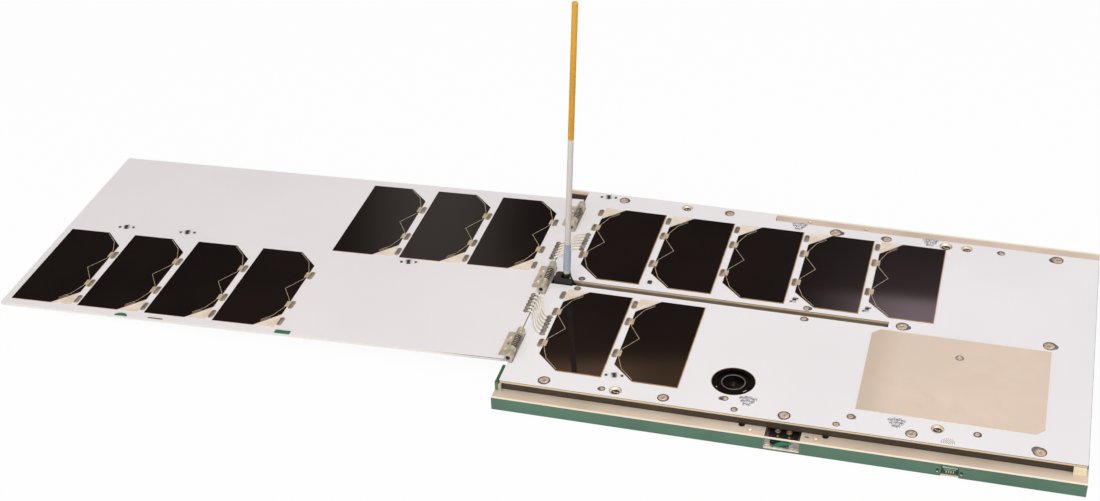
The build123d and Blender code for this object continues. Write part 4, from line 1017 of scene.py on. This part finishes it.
# ---------------- floor and light
REACH = 4  # metres from the middle to the floor's edges
WHITE_SHARE = 0.95  # of the floor as the camera sees it; the rest is lit and keeps the shadow
floor_mesh = bpy.data.meshes.new("floor")
floor_mesh.from_pydata([(-REACH, -REACH, 0), (REACH, -REACH, 0), (REACH, REACH, 0),
                        (-REACH, REACH, 0)], [], [(0, 1, 2, 3)])
floor = bpy.data.objects.new("floor", floor_mesh)
bpy.context.collection.objects.link(floor)
pale = bpy.data.materials.new("pale_floor")
pale.use_nodes = True
pale.node_tree.nodes.clear()
ground = Graph(pale.node_tree)
matt = ground.node("BsdfDiffuse", Color=(0.78, 0.78, 0.78, 1))
white = ground.node("Emission", Color=(1, 1, 1, 1))
eye = ground.node("LightPath")
ground.show(ground.blend(eye * WHITE_SHARE, matt, white), "Material")
floor_mesh.materials.append(pale)

world = bpy.data.worlds.new("studio")
world.use_nodes = True
bpy.context.scene.world = world
world.node_tree.nodes.clear()
studio = Graph(world.node_tree)
sky = studio.node("TexCoord")  # the direction that a ray leaves in
east, _, up = (studio.node("SeparateXYZ", i, Vector=sky) for i in range(3))
fill = studio.node("Background", Color=(0.98, 0.98, 1.0, 1), Strength=0.45)
# What shiny faces mirror: dark walls, a warm brown part over them for the front cells, dimmer at
# the right, a pale plum part at the right for the back row's cells, and a narrow hazy band at the
# left. The pairs are where each part begins and is full, as parts of a direction of length 1.
WARM_UP, PLUM_UP, PLUM_EAST = (0.6, 0.61), (0.57, 0.5745), (-0.115, -0.04)
DIM_EAST, HAZE_EAST, HAZE_FADE = (-0.2, -0.17), -0.335, (0.008, 0.05)
warm = up.ramp(*WARM_UP)
plum = up.ramp(*PLUM_UP) * east.ramp(*PLUM_EAST)
hazy = 1 - abs(east - HAZE_EAST).ramp(*HAZE_FADE)
room_color = studio.mix(plum, studio.mix(warm, "463A37", "A47F62"), "B9A3AA")
warm_gain = 2.1 - east.ramp(*DIM_EAST) * 1.5
room = studio.node("Background", Color=studio.mix(hazy, room_color, "A39990"),
                   Strength=1 + plum * 3.3 + warm * warm_gain)
seen = studio.node("Background", Color=(1, 1, 1, 1))
camera_ray = studio.node("LightPath")
glossy_ray = studio.node("LightPath", 3)
studio.show(studio.blend(camera_ray, studio.blend(glossy_ray, fill, room), seen), "World")


def softbox(name, place, target, size, power):
    """A rectangular lamp that looks from a place to a target, in metres."""
    data = bpy.data.lights.new(name, "AREA")
    data.shape = "RECTANGLE"
    data.size, data.size_y = size
    data.energy = power
    lamp = bpy.data.objects.new(name, data)
    bpy.context.collection.objects.link(lamp)
    away = (Vector(place) - Vector(target)).normalized()
    right = Vector((0, 0, 1)).cross(away)
    right = right.normalized() if right.length > 0.01 else Vector((1, 0, 0))
    aim(lamp, place, right, away.cross(right))


softbox("key", (0.5, -1.1, 1.7), (-0.05, 0, 0), (1.6, 1.2), 17.9)
softbox("overhead", (-0.2, 0.1, 1.8), (-0.15, 0, 0), (1.8, 1.4), 7.9)
softbox("front", (-0.6, -1.6, 0.5), (-0.05, 0, 0), (1.2, 0.8), 6.9)

bpy.context.scene.view_settings.view_transform = "Standard"
